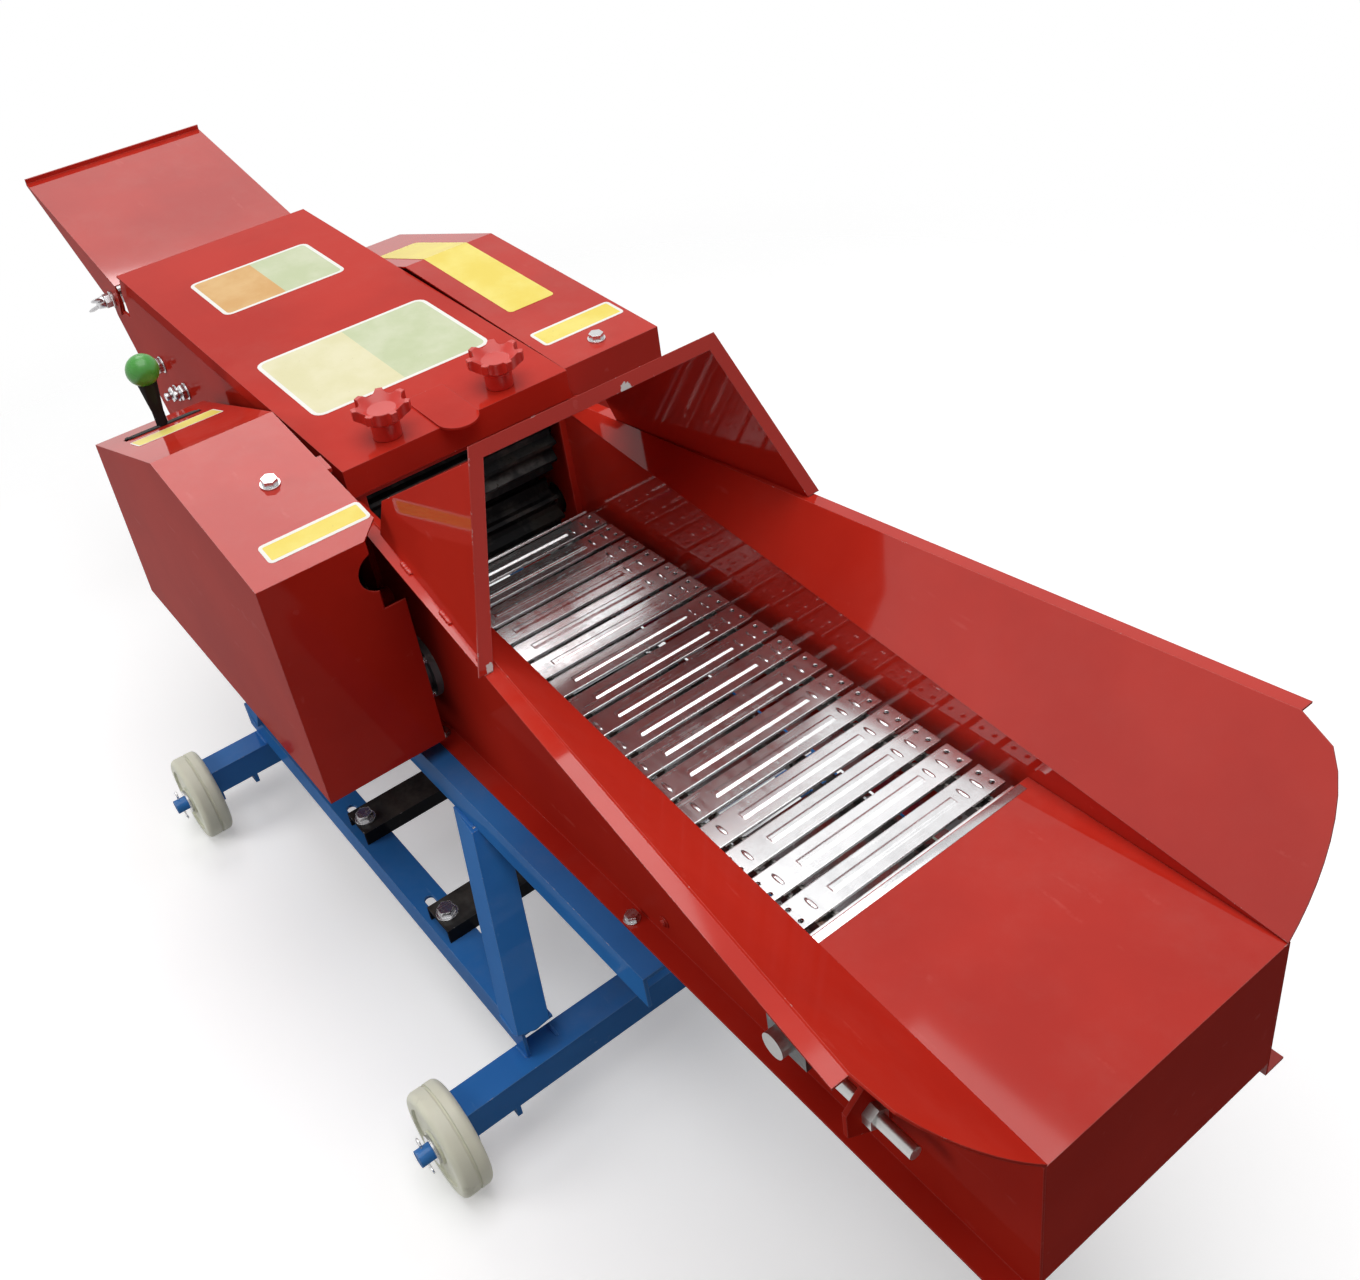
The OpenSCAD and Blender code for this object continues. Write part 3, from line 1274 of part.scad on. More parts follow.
// Bolts of the motor rails, the trough and the guards
module fasteners() {
  seat = 0.1;
  color(steel) {
    for (d = [motor_rail_front_d, motor_rail_rear_d]) both_sides()
      at(d, lower_rail_y - angle_w / 2, lower_rail_top + motor_rail_h) bolt_head(12);
    for (d = [rail_front_d + 64, house_d - 90]) both_sides()
      at(d, wall_out + flange_w * 0.55, wall_base) bolt_head(8);
    at(guard_bolt_d, -guard_bolt_y, guard_top(guard_bolt_d)) rotate([0, guard_slope, 0])
      translate([0, 0, seat]) bolt_head(10);
    at(belt_bolt_d, belt_bolt_y, belt_top(belt_bolt_d)) rotate([0, belt_slope, 0])
      translate([0, 0, seat]) bolt_head(10);
  }
}

mirror([0, 1, 0]) upper_rail();  // upper_rail_near
upper_rail();  // upper_rail_far
mirror([0, 1, 0]) lower_rail();  // lower_rail_near
lower_rail();  // lower_rail_far
mirror([0, 1, 0]) front_leg();  // front_leg_near
front_leg();  // front_leg_far
mirror([0, 1, 0]) rear_leg();  // rear_leg_near
rear_leg();  // rear_leg_far
front_axle();
rear_axle();
cross_ties();
motor_rail_front();
motor_rail_rear();
wheel(front_axle_d, -1);  // wheel_front_near
wheel(front_axle_d, 1);  // wheel_front_far
wheel(rear_axle_d, -1);  // wheel_rear_near
wheel(rear_axle_d, 1);  // wheel_rear_far
axle_washers();
trough_near_wall();
trough_far_wall();
deck_cover();
feed_hood();
takeup_blocks();
takeup_screws();
idler_shaft();
drive_shaft();
drive_bearings();
conveyor_gear();
conveyor_chains();
slats_top();
slats_return();
housing_near_plate();
housing_far_plate();
throat_panel();
rotor_casing();
top_cover();
hinge_rod();
star_knob(-1);  // star_knob_near
star_knob(1);  // star_knob_far
chute();
chute_pivots();
gear_guard();
belt_guard();
main_bearings();
main_shaft();
knife_drum();
knives();
knife_bolts();
driven_pulley();
bed_knife();
lower_roller();
lower_roller_gears();
upper_roller();
upper_bearing_blocks();
counter_shaft();
shift_gears();
feed_idler_gear();
gear_lever();
lever_ball();
fasteners();
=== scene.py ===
"""Finishes, trim and studio for the chaff cutter: paint, zinc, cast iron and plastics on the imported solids, and the
weld beads, blank plates and strips, dents, edging and small fasteners that the solids leave to this file."""

import json
import logging
import math
from dataclasses import dataclass, field
from enum import Enum
from typing import ClassVar, Iterable, Sequence, Union

import bmesh
import bpy
from mathutils import Matrix, Vector


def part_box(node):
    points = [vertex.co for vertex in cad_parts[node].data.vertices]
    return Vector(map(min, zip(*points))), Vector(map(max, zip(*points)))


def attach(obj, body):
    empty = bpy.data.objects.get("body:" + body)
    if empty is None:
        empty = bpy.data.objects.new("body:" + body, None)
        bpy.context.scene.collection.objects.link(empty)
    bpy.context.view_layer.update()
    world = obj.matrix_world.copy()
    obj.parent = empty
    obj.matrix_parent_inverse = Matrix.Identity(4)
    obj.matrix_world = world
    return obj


logging.basicConfig(level=logging.INFO, format="%(message)s")
log = logging.getLogger("chaff_cutter")

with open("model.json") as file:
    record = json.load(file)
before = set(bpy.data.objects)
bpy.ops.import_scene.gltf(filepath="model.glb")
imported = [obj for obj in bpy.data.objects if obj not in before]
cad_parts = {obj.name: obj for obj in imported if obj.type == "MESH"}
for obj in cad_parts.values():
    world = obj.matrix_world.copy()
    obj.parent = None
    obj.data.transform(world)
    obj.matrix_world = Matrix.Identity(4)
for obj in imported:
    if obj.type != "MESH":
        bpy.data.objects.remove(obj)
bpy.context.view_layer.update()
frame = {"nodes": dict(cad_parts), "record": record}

Colour = tuple[float, float, float]
Point = tuple[float, float, float]
Value = Union["Sock", float, int, Sequence[float]]

MM = 0.001
UP: Point = (0, 0, 1)
SIDES = (-1, 1)
SHARP_ANGLE = math.radians(38)

# Main red, red of the deeper patches, and paler red of the scuffs and edges, where it is partly wear and partly a
# painted highlight.
REDS: tuple[Colour, Colour, Colour] = ((0.52, 0.026, 0.014), (0.45, 0.02, 0.011), (0.66, 0.13, 0.11))
DUST: Colour = (0.5, 0.44, 0.38)
# Near-white laid along the zinc's edges: a painted highlight.
PAINTED_EDGE_HIGHLIGHT: Colour = (0.92, 0.92, 0.92)
STAIN: Colour = (0.12, 0.1, 0.09)
RUST: Colour = (0.2, 0.09, 0.045)
GREASE: Colour = (0.03, 0.026, 0.022)
SPECK: Colour = (0.3, 0.24, 0.16)


class Body(Enum):
    """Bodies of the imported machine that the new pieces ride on."""

    MACHINE = "machine"
    COVER = "cover"


class Slot(Enum):
    """Material slots of the record."""

    RED = "red_paint"
    BLUE = "blue_paint"
    BLACK = "black_paint"
    ZINC = "zinc"


def added(name: str, data: bpy.types.ID) -> bpy.types.Object:
    """Put an object with that data into the scene."""
    thing = bpy.data.objects.new(name, data)
    bpy.context.scene.collection.objects.link(thing)
    return thing


def raised(place: Matrix, height: float) -> Matrix:
    """The frame, moved along its own Z."""
    return place @ Matrix.Translation((0, 0, height))


class Sock:
    """One output of a material's nodes. Arithmetic on it adds Math nodes."""

    def __init__(self, graph: "Graph", socket: bpy.types.NodeSocket) -> None:
        """Keep the socket and the graph that it belongs to."""
        self.graph = graph
        self.socket = socket

    def _math(self, operation: str, first: Value, second: Value) -> "Sock":
        """Add one Math node for two values."""
        return self.graph.node("ShaderNodeMath", {"operation": operation}, {0: first, 1: second})

    def __add__(self, other: Value) -> "Sock":
        """Add."""
        return self._math("ADD", self, other)

    __radd__ = __add__

    def __sub__(self, other: Value) -> "Sock":
        """Subtract a value from this one."""
        return self._math("SUBTRACT", self, other)

    def __rsub__(self, other: Value) -> "Sock":
        """Subtract this one from a value."""
        return self._math("SUBTRACT", other, self)

    def __mul__(self, other: Value) -> "Sock":
        """Multiply."""
        return self._math("MULTIPLY", self, other)

    __rmul__ = __mul__

    def larger(self, other: Value) -> "Sock":
        """The larger of this value and another one."""
        return self._math("MAXIMUM", self, other)

    def over(self, low: float, high: float) -> "Sock":
        """Rise smoothly from 0 to 1 between two values.

        Args:
            low: Value below which the result is 0.
            high: Value above which the result is 1.

        Returns:
            The clamped result.
        """
        settings = {"interpolation_type": "SMOOTHSTEP", "clamp": True}
        return self.graph.node("ShaderNodeMapRange", settings, {"Value": self, "From Min": low, "From Max": high})


class Graph:
    """Nodes of one material or of the world."""

    def __init__(self, tree: bpy.types.NodeTree) -> None:
        """Start with an empty tree.

        Args:
            tree: Node tree that the nodes go into.
        """
        self.tree = tree
        self.tree.nodes.clear()

    def put(self, socket: bpy.types.NodeSocket, value: Value) -> None:
        """Link a socket to another one, or set its own value."""
        if isinstance(value, Sock):
            self.tree.links.new(value.socket, socket)
        elif isinstance(value, (int, float)):
            socket.default_value = float(value)
        else:
            room = len(socket.default_value)
            socket.default_value = tuple(value) + (1.0,) * (room - len(value))

    def node(self, kind: str, settings: dict | None = None, inputs: dict | None = None,
             output: Union[int, str] = 0) -> Sock:
        """Add one node.

        Args:
            kind: Blender's type of the node.
            settings: Properties that are set before the sockets.
            inputs: Values or links by socket name or number.
            output: Name or number of the wanted output.

        Returns:
            The wanted output.
        """
        made = self.tree.nodes.new(kind)
        for key, value in (settings or {}).items():
            setattr(made, key, value)
        for key, value in (inputs or {}).items():
            self.put(made.inputs[key], value)
        return Sock(self, made.outputs[output])


class Surface(Graph):
    """Nodes of one material, ending in a Principled surface."""

    def __init__(self, name: str) -> None:
        """Start an empty material.

        Args:
            name: Name of the material.
        """
        self.material = bpy.data.materials.new(name)
        self.material.use_nodes = True
        super().__init__(self.material.node_tree)
        self.principled = self.tree.nodes.new("ShaderNodeBsdfPrincipled")
        output = self.tree.nodes.new("ShaderNodeOutputMaterial")
        self.put(output.inputs["Surface"], Sock(self, self.principled.outputs[0]))
        self.here = self.node("ShaderNodeTexCoord", output="Object")

    def stretched(self, scale: Sequence[float]) -> Sock:
        """Object coordinates with a scale for each axis."""
        return self.node("ShaderNodeMapping", {}, {"Vector": self.here, "Scale": scale})

    def noise(self, scale: float, detail: float = 3.0, rough: float = 0.55,
              stretch: Sequence[float] = (1, 1, 1)) -> Sock:
        """Cloudy noise on object coordinates.

        Args:
            scale: Cells for each metre.
            detail: Octaves.
            rough: Weight of the finer octaves.
            stretch: Scale of each axis before the noise.

        Returns:
            The noise, about 0.3 to 0.7.
        """
        inputs = {"Vector": self.stretched(stretch), "Scale": scale, "Detail": detail, "Roughness": rough}
        return self.node("ShaderNodeTexNoise", {}, inputs)

    def cells(self, scale: float) -> Sock:
        """Number from 0 to 1 for each cell of a pattern on object coordinates."""
        colour = self.node("ShaderNodeTexVoronoi", {}, {"Vector": self.here, "Scale": scale}, "Color")
        return self.node("ShaderNodeSeparateColor", {}, {"Color": colour}, "Red")

    def axis(self, letter: str) -> Sock:
        """One of the object coordinates, in metres."""
        return self.node("ShaderNodeSeparateXYZ", {}, {"Vector": self.here}, letter)

    def distance(self, point: Sequence[float]) -> Sock:
        """Distance from a point, in metres."""
        return self.node("ShaderNodeVectorMath", {"operation": "DISTANCE"}, {0: self.here, 1: point}, "Value")

    def normal(self) -> Sock:
        """Direction of the face."""
        return self.node("ShaderNodeNewGeometry", output="Normal")

    def facing(self, letter: str) -> Sock:
        """Share of the face's direction along one axis."""
        return self.node("ShaderNodeSeparateXYZ", {}, {"Vector": self.normal()}, letter)

    def facing_up(self, low: float = 0.35) -> Sock:
        """1 on faces that look up, 0 on those whose upward share is below a given one."""
        return self.facing("Z").over(low, 0.95)

    def rounded(self, radius: float) -> Sock:
        """Direction of the face with its edges rounded."""
        return self.node("ShaderNodeBevel", {"samples": 4}, {"Radius": radius})

    def edges(self, rounded: Sock) -> Sock:
        """1 along the edges, 0 away from them."""
        pair = {0: rounded, 1: self.normal()}
        same = self.node("ShaderNodeVectorMath", {"operation": "DOT_PRODUCT"}, pair, "Value")
        return (1.0 - same).over(0.01, 0.16)

    def blend(self, factor: Value, first: Value, second: Value) -> Sock:
        """Mix two colours."""
        return self.node("ShaderNodeMix", {"data_type": "RGBA"}, {0: factor, 6: first, 7: second}, 2)

    def bump(self, height: Sock, distance: float, strength: float = 1.0, over: Sock | None = None) -> Sock:
        """Bump of a given depth in metres, over the face or over another direction."""
        inputs = {"Height": height, "Distance": distance, "Strength": strength}
        if over:
            inputs["Normal"] = over
        return self.node("ShaderNodeBump", {}, inputs)

    def finish(self, sockets: dict[str, Value]) -> bpy.types.Material:
        """Feed the Principled surface.

        Args:
            sockets: Values or links by socket name.

        Returns:
            The finished material.
        """
        for name, value in sockets.items():
            self.put(self.principled.inputs[name], value)
        return self.material


@dataclass(frozen=True)
class Paint:
    """Sprayed paint on steel: soft mottling, orange peel, paler edges that are partly wear and partly a painted
    highlight, fine scuffs, dust and chips.

    Attributes:
        name: Name of the material.
        colour: Main colour.
        shade: Colour of the deeper patches.
        worn_and_highlight: Colour of the thin paint along the edges and of the scuffs; along the edges it is also a
            painted highlight.
        rough: Roughness of clean paint.
        coat: Weight of the clear gloss on faces that look up.
        sides: Share of that gloss on upright faces.
        chips: Share of chipped paint, from 0 to 1.
        dust: Dust on faces that look up, from 0 to 1.
        under: Colour under a chip.
        knocks: Middle and radius, in metres, of each larger patch where the paint is knocked off.
        index: Refractive index of the clear gloss.
        lean: Upward share of a face from which the gloss begins.
        inner: Way across the machine, -1 or 1, of the faces that the crop keeps glossy; 0 for every upright face.
        lip: Radius of the rounded edges, in metres.
        depth: Depth of the bumps, in metres.
    """

    name: str
    colour: Colour
    shade: Colour
    worn_and_highlight: Colour
    rough: float = 0.3
    coat: float = 0.3
    sides: float = 0.2
    chips: float = 0.4
    dust: float = 0.05
    under: Colour = (0.6, 0.58, 0.55)
    knocks: tuple[tuple[float, float, float, float], ...] = ()
    index: float = 1.5
    lean: float = 0.35
    inner: int = 0
    lip: float = 0.0014
    depth: float = 0.0003

    def material(self) -> bpy.types.Material:
        """Build the paint."""
        g = Surface(self.name)
        rounded = g.rounded(self.lip)
        edge = g.edges(rounded)
        patches = g.noise(4.5, 4.0, 0.55).over(0.34, 0.68)
        fine = g.noise(38.0, 6.0, 0.62)
        scuffs = g.noise(60.0, 2.0, 0.5, (0.12, 1.0, 1.0)).over(0.66, 0.72) * fine.over(0.48, 0.62)
        speck = g.noise(95.0, 4.0, 0.7)
        chipped = speck.over(0.84 - 0.05 * self.chips, 0.85 - 0.05 * self.chips)
        nicked = edge * speck.over(0.66 - 0.06 * self.chips, 0.7 - 0.06 * self.chips)
        bare = chipped.larger(nicked)
        for x, y, z, radius in self.knocks:
            knocked = 1.0 - (g.distance((x, y, z)) + (speck - 0.5) * radius * 2.0).over(radius * 0.85, radius)
            bare = bare.larger(knocked)
        dusty = g.facing_up() * g.noise(8.0, 6.0, 0.65).over(0.42, 0.74) * self.dust
        colour = g.blend(patches, self.colour, self.shade)
        # Paler paint along the edges: partly edge wear, partly a painted highlight where the edges would catch the
        # light.
        colour = g.blend(edge * 0.55, colour, self.worn_and_highlight)
        colour = g.blend(scuffs * 0.18, colour, self.worn_and_highlight)
        colour = g.blend(dusty, colour, DUST)
        colour = g.blend(bare, colour, self.under)
        rough = fine * 0.14 + (self.rough - 0.07) + dusty * 0.4 + scuffs * 0.2 + bare * 0.25
        sides = (g.facing("Y") * self.inner).over(0.2, 0.6) * self.sides if self.inner else self.sides
        gloss = (g.facing_up(self.lean) * (1.0 - sides) + sides) * (1.0 - bare) * self.coat
        height = g.noise(420.0, 1.5, 0.4) * 0.3 + g.noise(24.0, 2.0, 0.4) * 1.5 - bare * 0.8
        return g.finish({"Base Color": colour, "Roughness": rough, "Coat Weight": gloss,
                         "Coat Roughness": 0.06, "Coat IOR": self.index, "Specular IOR Level": 0.0,
                         "Normal": g.bump(height, self.depth, strength=0.35, over=rounded)})


@dataclass(frozen=True)
class Zinc:
    """Galvanised or plated steel: spangle, rubbed streaks along the crop's way, scuffs, dark stains and a painted
    highlight along the edges.

    Attributes:
        name: Name of the material.
        colour: Colour of bright zinc.
        dull: Colour of weathered zinc.
        rough: Roughness of bright zinc.
        stained: Share of dark stains, from 0 to 1.
        spangle: Crystals for each metre.
        bars: Width of one bar along the machine, so that each bar has its own tone; 0 for none.
        wave: Strength of the bumps.
        lip: Radius of the rounded edges, in metres.
        depth: Depth of the bumps, in metres.
    """

    name: str
    colour: Colour = (0.8, 0.8, 0.81)
    dull: Colour = (0.5, 0.5, 0.51)
    rough: float = 0.24
    stained: float = 0.5
    spangle: float = 260.0
    bars: float = 0.0
    wave: float = 0.4
    lip: float = 0.0007
    depth: float = 0.0002

    def material(self) -> bpy.types.Material:
        """Build the zinc."""
        g = Surface(self.name)
        rounded = g.rounded(self.lip)
        edge = g.edges(rounded)
        crystals = g.cells(self.spangle)
        bloom = g.noise(22.0, 6.0, 0.62).over(0.42, 0.64)
        streaks = g.noise(90.0, 4.0, 0.6, (0.14, 1.0, 0.3)).over(0.5, 0.64)
        scratches = g.noise(170.0, 3.0, 0.6, (1.0, 0.06, 1.0)).over(0.6, 0.68)
        stains = g.noise(46.0, 5.0, 0.7).over(0.66, 0.74) * self.stained
        tone = bloom * 0.35 + crystals * 0.12
        if self.bars:
            bar = g.node("ShaderNodeMath", {"operation": "FLOOR"}, {0: g.axis("X") * (1.0 / self.bars)})
            tone = tone + g.node("ShaderNodeTexWhiteNoise", {"noise_dimensions": "1D"}, {"W": bar}, "Value") * 0.35
        colour = g.blend(tone, self.colour, self.dull)
        # Lighter along the edges: a painted highlight.
        colour = g.blend(edge * 0.6, colour, PAINTED_EDGE_HIGHLIGHT)
        colour = g.blend(stains, colour, STAIN)
        rough = bloom * 0.04 + crystals * 0.03 + stains * 0.3 + (self.rough - 0.03)
        rough = rough + scratches * 0.06 - streaks * 0.04
        height = crystals * 0.12 + scratches * 0.3 + g.noise(70.0, 3.0) * 0.8
        return g.finish({"Base Color": colour, "Metallic": 0.95 - stains * 0.6, "Roughness": rough,
                         "Normal": g.bump(height, self.depth, strength=self.wave, over=rounded)})


@dataclass(frozen=True)
class Steel:
    """Bare turned or ground steel with tool marks and a little brown bloom.

    Attributes:
        name: Name of the material.
        colour: Colour of clean steel.
        marks: Scale of each axis of the tool marks.
        rough: Roughness of clean steel.
        rust: Share of brown bloom, from 0 to 1.
        depth: Depth of the tool marks, in metres.
    """

    name: str
    colour: Colour = (0.5, 0.5, 0.49)
    marks: tuple[float, float, float] = (0.3, 1.0, 0.3)
    rough: float = 0.32
    rust: float = 0.4
    depth: float = 0.00008

    def material(self) -> bpy.types.Material:
        """Build the steel."""
        g = Surface(self.name)
        lines = g.noise(700.0, 2.0, 0.5, self.marks)
        bloom = g.noise(48.0, 5.0, 0.65).over(0.66 - 0.1 * self.rust, 0.8 - 0.1 * self.rust)
        oil = g.noise(11.0, 4.0).over(0.42, 0.64)
        colour = g.blend(oil * 0.5, self.colour, tuple(0.5 * c for c in self.colour))
        colour = g.blend(bloom * 0.7, colour, RUST)
        rough = lines * 0.18 + bloom * 0.35 + (self.rough - 0.06)
        return g.finish({"Base Color": colour, "Metallic": 1.0 - bloom * 0.7, "Roughness": rough,
                         "Normal": g.bump(lines + bloom, self.depth, strength=0.5)})


@dataclass(frozen=True)
class CastIron:
    """Cast and machined iron with grain, grease and a rubbed sheen.

    Attributes:
        name: Name of the material.
        colour: Colour of the clean casting.
        rubbed: Colour of the rubbed places.
        grease: Share of dark grease, from 0 to 1.
        depth: Depth of the grain, in metres.
    """

    name: str
    colour: Colour = (0.14, 0.14, 0.145)
    rubbed: Colour = (0.32, 0.31, 0.3)
    grease: float = 0.5
    depth: float = 0.0004

    def material(self) -> bpy.types.Material:
        """Build the casting."""
        g = Surface(self.name)
        grain = g.noise(340.0, 4.0, 0.7)
        wet = g.noise(20.0, 5.0, 0.6).over(0.6 - 0.15 * self.grease, 0.75 - 0.15 * self.grease)
        polish = g.noise(70.0, 3.0).over(0.56, 0.7)
        colour = g.blend(polish * 0.6, self.colour, self.rubbed)
        colour = g.blend(wet * 0.85, colour, GREASE)
        rough = grain * 0.2 + 0.48 - wet * 0.26 - polish * 0.1
        return g.finish({"Base Color": colour, "Metallic": 0.75 - wet * 0.5, "Roughness": rough,
                         "Normal": g.bump(grain, self.depth, strength=0.5)})


@dataclass(frozen=True)
class Plastic:
    """Moulded plastic or rubber with a fine grain, a painted highlight along the edges, rubbed gloss and dirt.

    Attributes:
        name: Name of the material.
        colour: Main colour.
        dirt: Colour of the dirt.
        rough: Roughness of clean plastic.
        dirty: Share of dirt, from 0 to 1.
        depth: Depth of the grain, in metres.
        lip: Radius of the rounded edges, in metres.
    """

    name: str
    colour: Colour
    dirt: Colour = (0.16, 0.13, 0.1)
    rough: float = 0.4
    dirty: float = 0.4
    depth: float = 0.0001
    lip: float = 0.002

    def material(self) -> bpy.types.Material:
        """Build the plastic."""
        g = Surface(self.name)
        rounded = g.rounded(self.lip)
        cloud = g.noise(26.0, 5.0, 0.65)
        smear = cloud.over(0.6 - 0.12 * self.dirty, 0.78 - 0.12 * self.dirty)
        deep = tuple(c * 0.72 for c in self.colour)
        colour = g.blend(g.noise(9.0, 3.0).over(0.35, 0.7) * 0.5, self.colour, deep)
        # Paler along the edges: a painted highlight.
        colour = g.blend(g.edges(rounded) * 0.3, colour, tuple(min(1.0, c * 1.25 + 0.02) for c in self.colour))
        colour = g.blend(smear * self.dirty, colour, self.dirt)
        rough = cloud * 0.2 + smear * 0.25 + (self.rough - 0.1)
        return g.finish({"Base Color": colour, "Roughness": rough,
                         "Normal": g.bump(g.noise(900.0, 2.0), self.depth, strength=0.5, over=rounded)})


@dataclass(frozen=True)
class Film:
    """Blank film: an even colour with sun fading, specks and a satin face.

    Attributes:
        name: Name of the material.
        colour: Main colour.
        faded: Colour where the sun has bleached it.
        depth: Depth of the grain, in metres.
    """

    name: str
    colour: Colour
    faded: Colour
    depth: float = 0.00006

    def material(self) -> bpy.types.Material:
        """Build the film."""
        g = Surface(self.name)
        sun = g.noise(16.0, 5.0, 0.6).over(0.35, 0.68)
        specks = g.noise(240.0, 3.0, 0.7).over(0.68, 0.74)
        colour = g.blend(sun, self.colour, self.faded)
        colour = g.blend(specks * 0.4, colour, SPECK)
        rough = sun * 0.12 + specks * 0.2 + 0.3
        return g.finish({"Base Color": colour, "Roughness": rough, "Specular IOR Level": 0.12,
                         "Normal": g.bump(g.noise(300.0, 2.0), self.depth, strength=0.4)})


class Finishes:
    """All materials of the machine, made once and handed to the pieces by name."""

    SLOTS: ClassVar[dict[str, str]] = {
        "red_paint": "red paint", "blue_paint": "blue paint", "black_paint": "black paint",
        "zinc": "zinc plate", "steel": "bare steel", "cast": "cast iron", "wheel_plastic": "wheel plastic",
        "knob_plastic": "knob plastic", "ball_plastic": "ball plastic"}
    SPECIAL: ClassVar[dict[str, str]] = {
        "slats_top": "bright slat", "slats_return": "bright slat", "knives": "knife steel",
        # The rollers take a nearly black iron, which paints the shade of the hood's mouth.
        "bed_knife": "knife steel", "conveyor_chains": "chain steel", "lower_roller": "roller iron with painted shade",
        "upper_roller": "roller iron with painted shade", "feed_hood": "chipped red paint", "deck_cover": "wall red paint",
        "trough_near_wall": "wall red paint", "trough_far_wall": "gloss red paint", "chute": "chute red paint",
        "top_cover": "satin red paint"}

    def __init__(self) -> None:
        """Build every finish."""
        made = [
            Paint("red paint", *REDS, rough=0.3, coat=0.6, sides=0.2, chips=0.2),
            Paint("satin red paint", *REDS, rough=0.34, coat=0.36, sides=0.1, chips=0.15, dust=0.03),
            Paint("gloss red paint", *REDS, rough=0.28, coat=0.9, sides=1.0, chips=0.3, dust=0.03, inner=-1),
            Paint("wall red paint", *REDS, rough=0.3, coat=0.6, sides=0.04, chips=0.2, dust=0.04, lean=0.8),
            Paint("chute red paint", *REDS, rough=0.28, coat=1.0, sides=0.15, chips=0.3, dust=0.05, index=1.8),
            Paint("chipped red paint", *REDS, rough=0.28, coat=0.7, sides=0.6, chips=1.0, dust=0.03,
                  under=(0.72, 0.71, 0.7), knocks=((0.392, 0.03, 0.809, 0.008), (0.392, 0.06, 0.812, 0.004),
                                                   (0.44, -0.189, 0.637, 0.006))),
            Paint("blue paint", (0.04, 0.205, 0.57), (0.03, 0.165, 0.48), (0.22, 0.42, 0.7),
                  rough=0.36, coat=0.4, sides=0.3, chips=0.6, dust=0.08),
            Paint("black paint", (0.02, 0.02, 0.021), (0.013, 0.013, 0.014), (0.1, 0.1, 0.1),
                  rough=0.42, coat=0.4, sides=0.3, chips=0.8, dust=0.15),
            Zinc("bright slat", (0.86, 0.86, 0.87), (0.6, 0.6, 0.61), rough=0.24, stained=0.25, spangle=200.0,
                 bars=0.0381, wave=0.03, lip=0.0016),
            Zinc("zinc plate", (0.62, 0.62, 0.63), (0.36, 0.36, 0.37), rough=0.26, stained=0.4, spangle=700.0),
            Steel("bare steel"),
            Steel("knife steel", (0.56, 0.56, 0.55), marks=(1.0, 0.06, 1.0), rough=0.24, rust=0.2),
            Steel("chain steel", (0.2, 0.19, 0.18), marks=(1.0, 1.0, 1.0), rough=0.42, rust=0.6),
            CastIron("cast iron"),
            # The rollers in the hood's mouth are nearly black: painted shade for the dark mouth, on top of the
            # grease.
            CastIron("roller iron with painted shade", (0.011, 0.011, 0.012), (0.034, 0.033, 0.032), grease=0.8),
            Plastic("wheel plastic", (0.88, 0.88, 0.71), dirty=0.2, rough=0.45),
            Plastic("knob plastic", (0.55, 0.03, 0.02), rough=0.34, dirty=0.1),
            Plastic("ball plastic", (0.055, 0.3, 0.04), rough=0.26, dirty=0.1),
            Plastic("rubber", (0.018, 0.018, 0.018), rough=0.62, dirty=0.4),
            Film("white film", (0.8, 0.79, 0.74), (0.84, 0.83, 0.79)),
            Film("cream film", (0.7, 0.66, 0.4), (0.75, 0.71, 0.48)),
            Film("green film", (0.52, 0.58, 0.36), (0.6, 0.64, 0.45)),
            Film("yellow film", (0.8, 0.64, 0.12), (0.84, 0.72, 0.2)),
            Film("tan film", (0.64, 0.36, 0.13), (0.7, 0.45, 0.2)),
        ]
        self.by_name = {finish.name: finish.material() for finish in made}

    def __getitem__(self, name: str) -> bpy.types.Material:
        """Material of that name."""
        return self.by_name[name]

    def dress_nodes(self) -> None:
        """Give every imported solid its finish."""
        parts = frame["record"]["subparts"]
        for part in parts:
            name = self.SPECIAL.get(part["node"], self.SLOTS[part["material_slot"]])
            mesh = frame["nodes"][part["node"]].data
            mesh.materials.clear()
            mesh.materials.append(self[name])
        log.info("dressed %d solids", len(parts))


class Places:
    """Places on the machine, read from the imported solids. d runs back from the trough's front face."""

    def __init__(self) -> None:
        """Read the main planes."""
        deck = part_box("deck_cover")[1]
        self.front_x = deck[0]
        self.deck_z = deck[2]

    def at(self, d: float, y: float, z: float) -> Vector:
        """Point at d behind the front face, y across and z over the deck, all in millimetres."""
        return Vector((self.front_x - d * MM, y * MM, self.deck_z + z * MM))

    def frame_at(self, d: float, y: float, z: float, out: Sequence[float]) -> Matrix:
        """Frame at a point, with its Z along a direction.

        Args:
            d: Distance behind the front face, in millimetres.
            y: Distance across.
            z: Height over the deck.
            out: Direction of the frame's Z.

        Returns:
            The frame.
        """
        turn = Vector(out).to_track_quat("Z", "Y").to_matrix().to_4x4()
        return Matrix.Translation(self.at(d, y, z)) @ turn


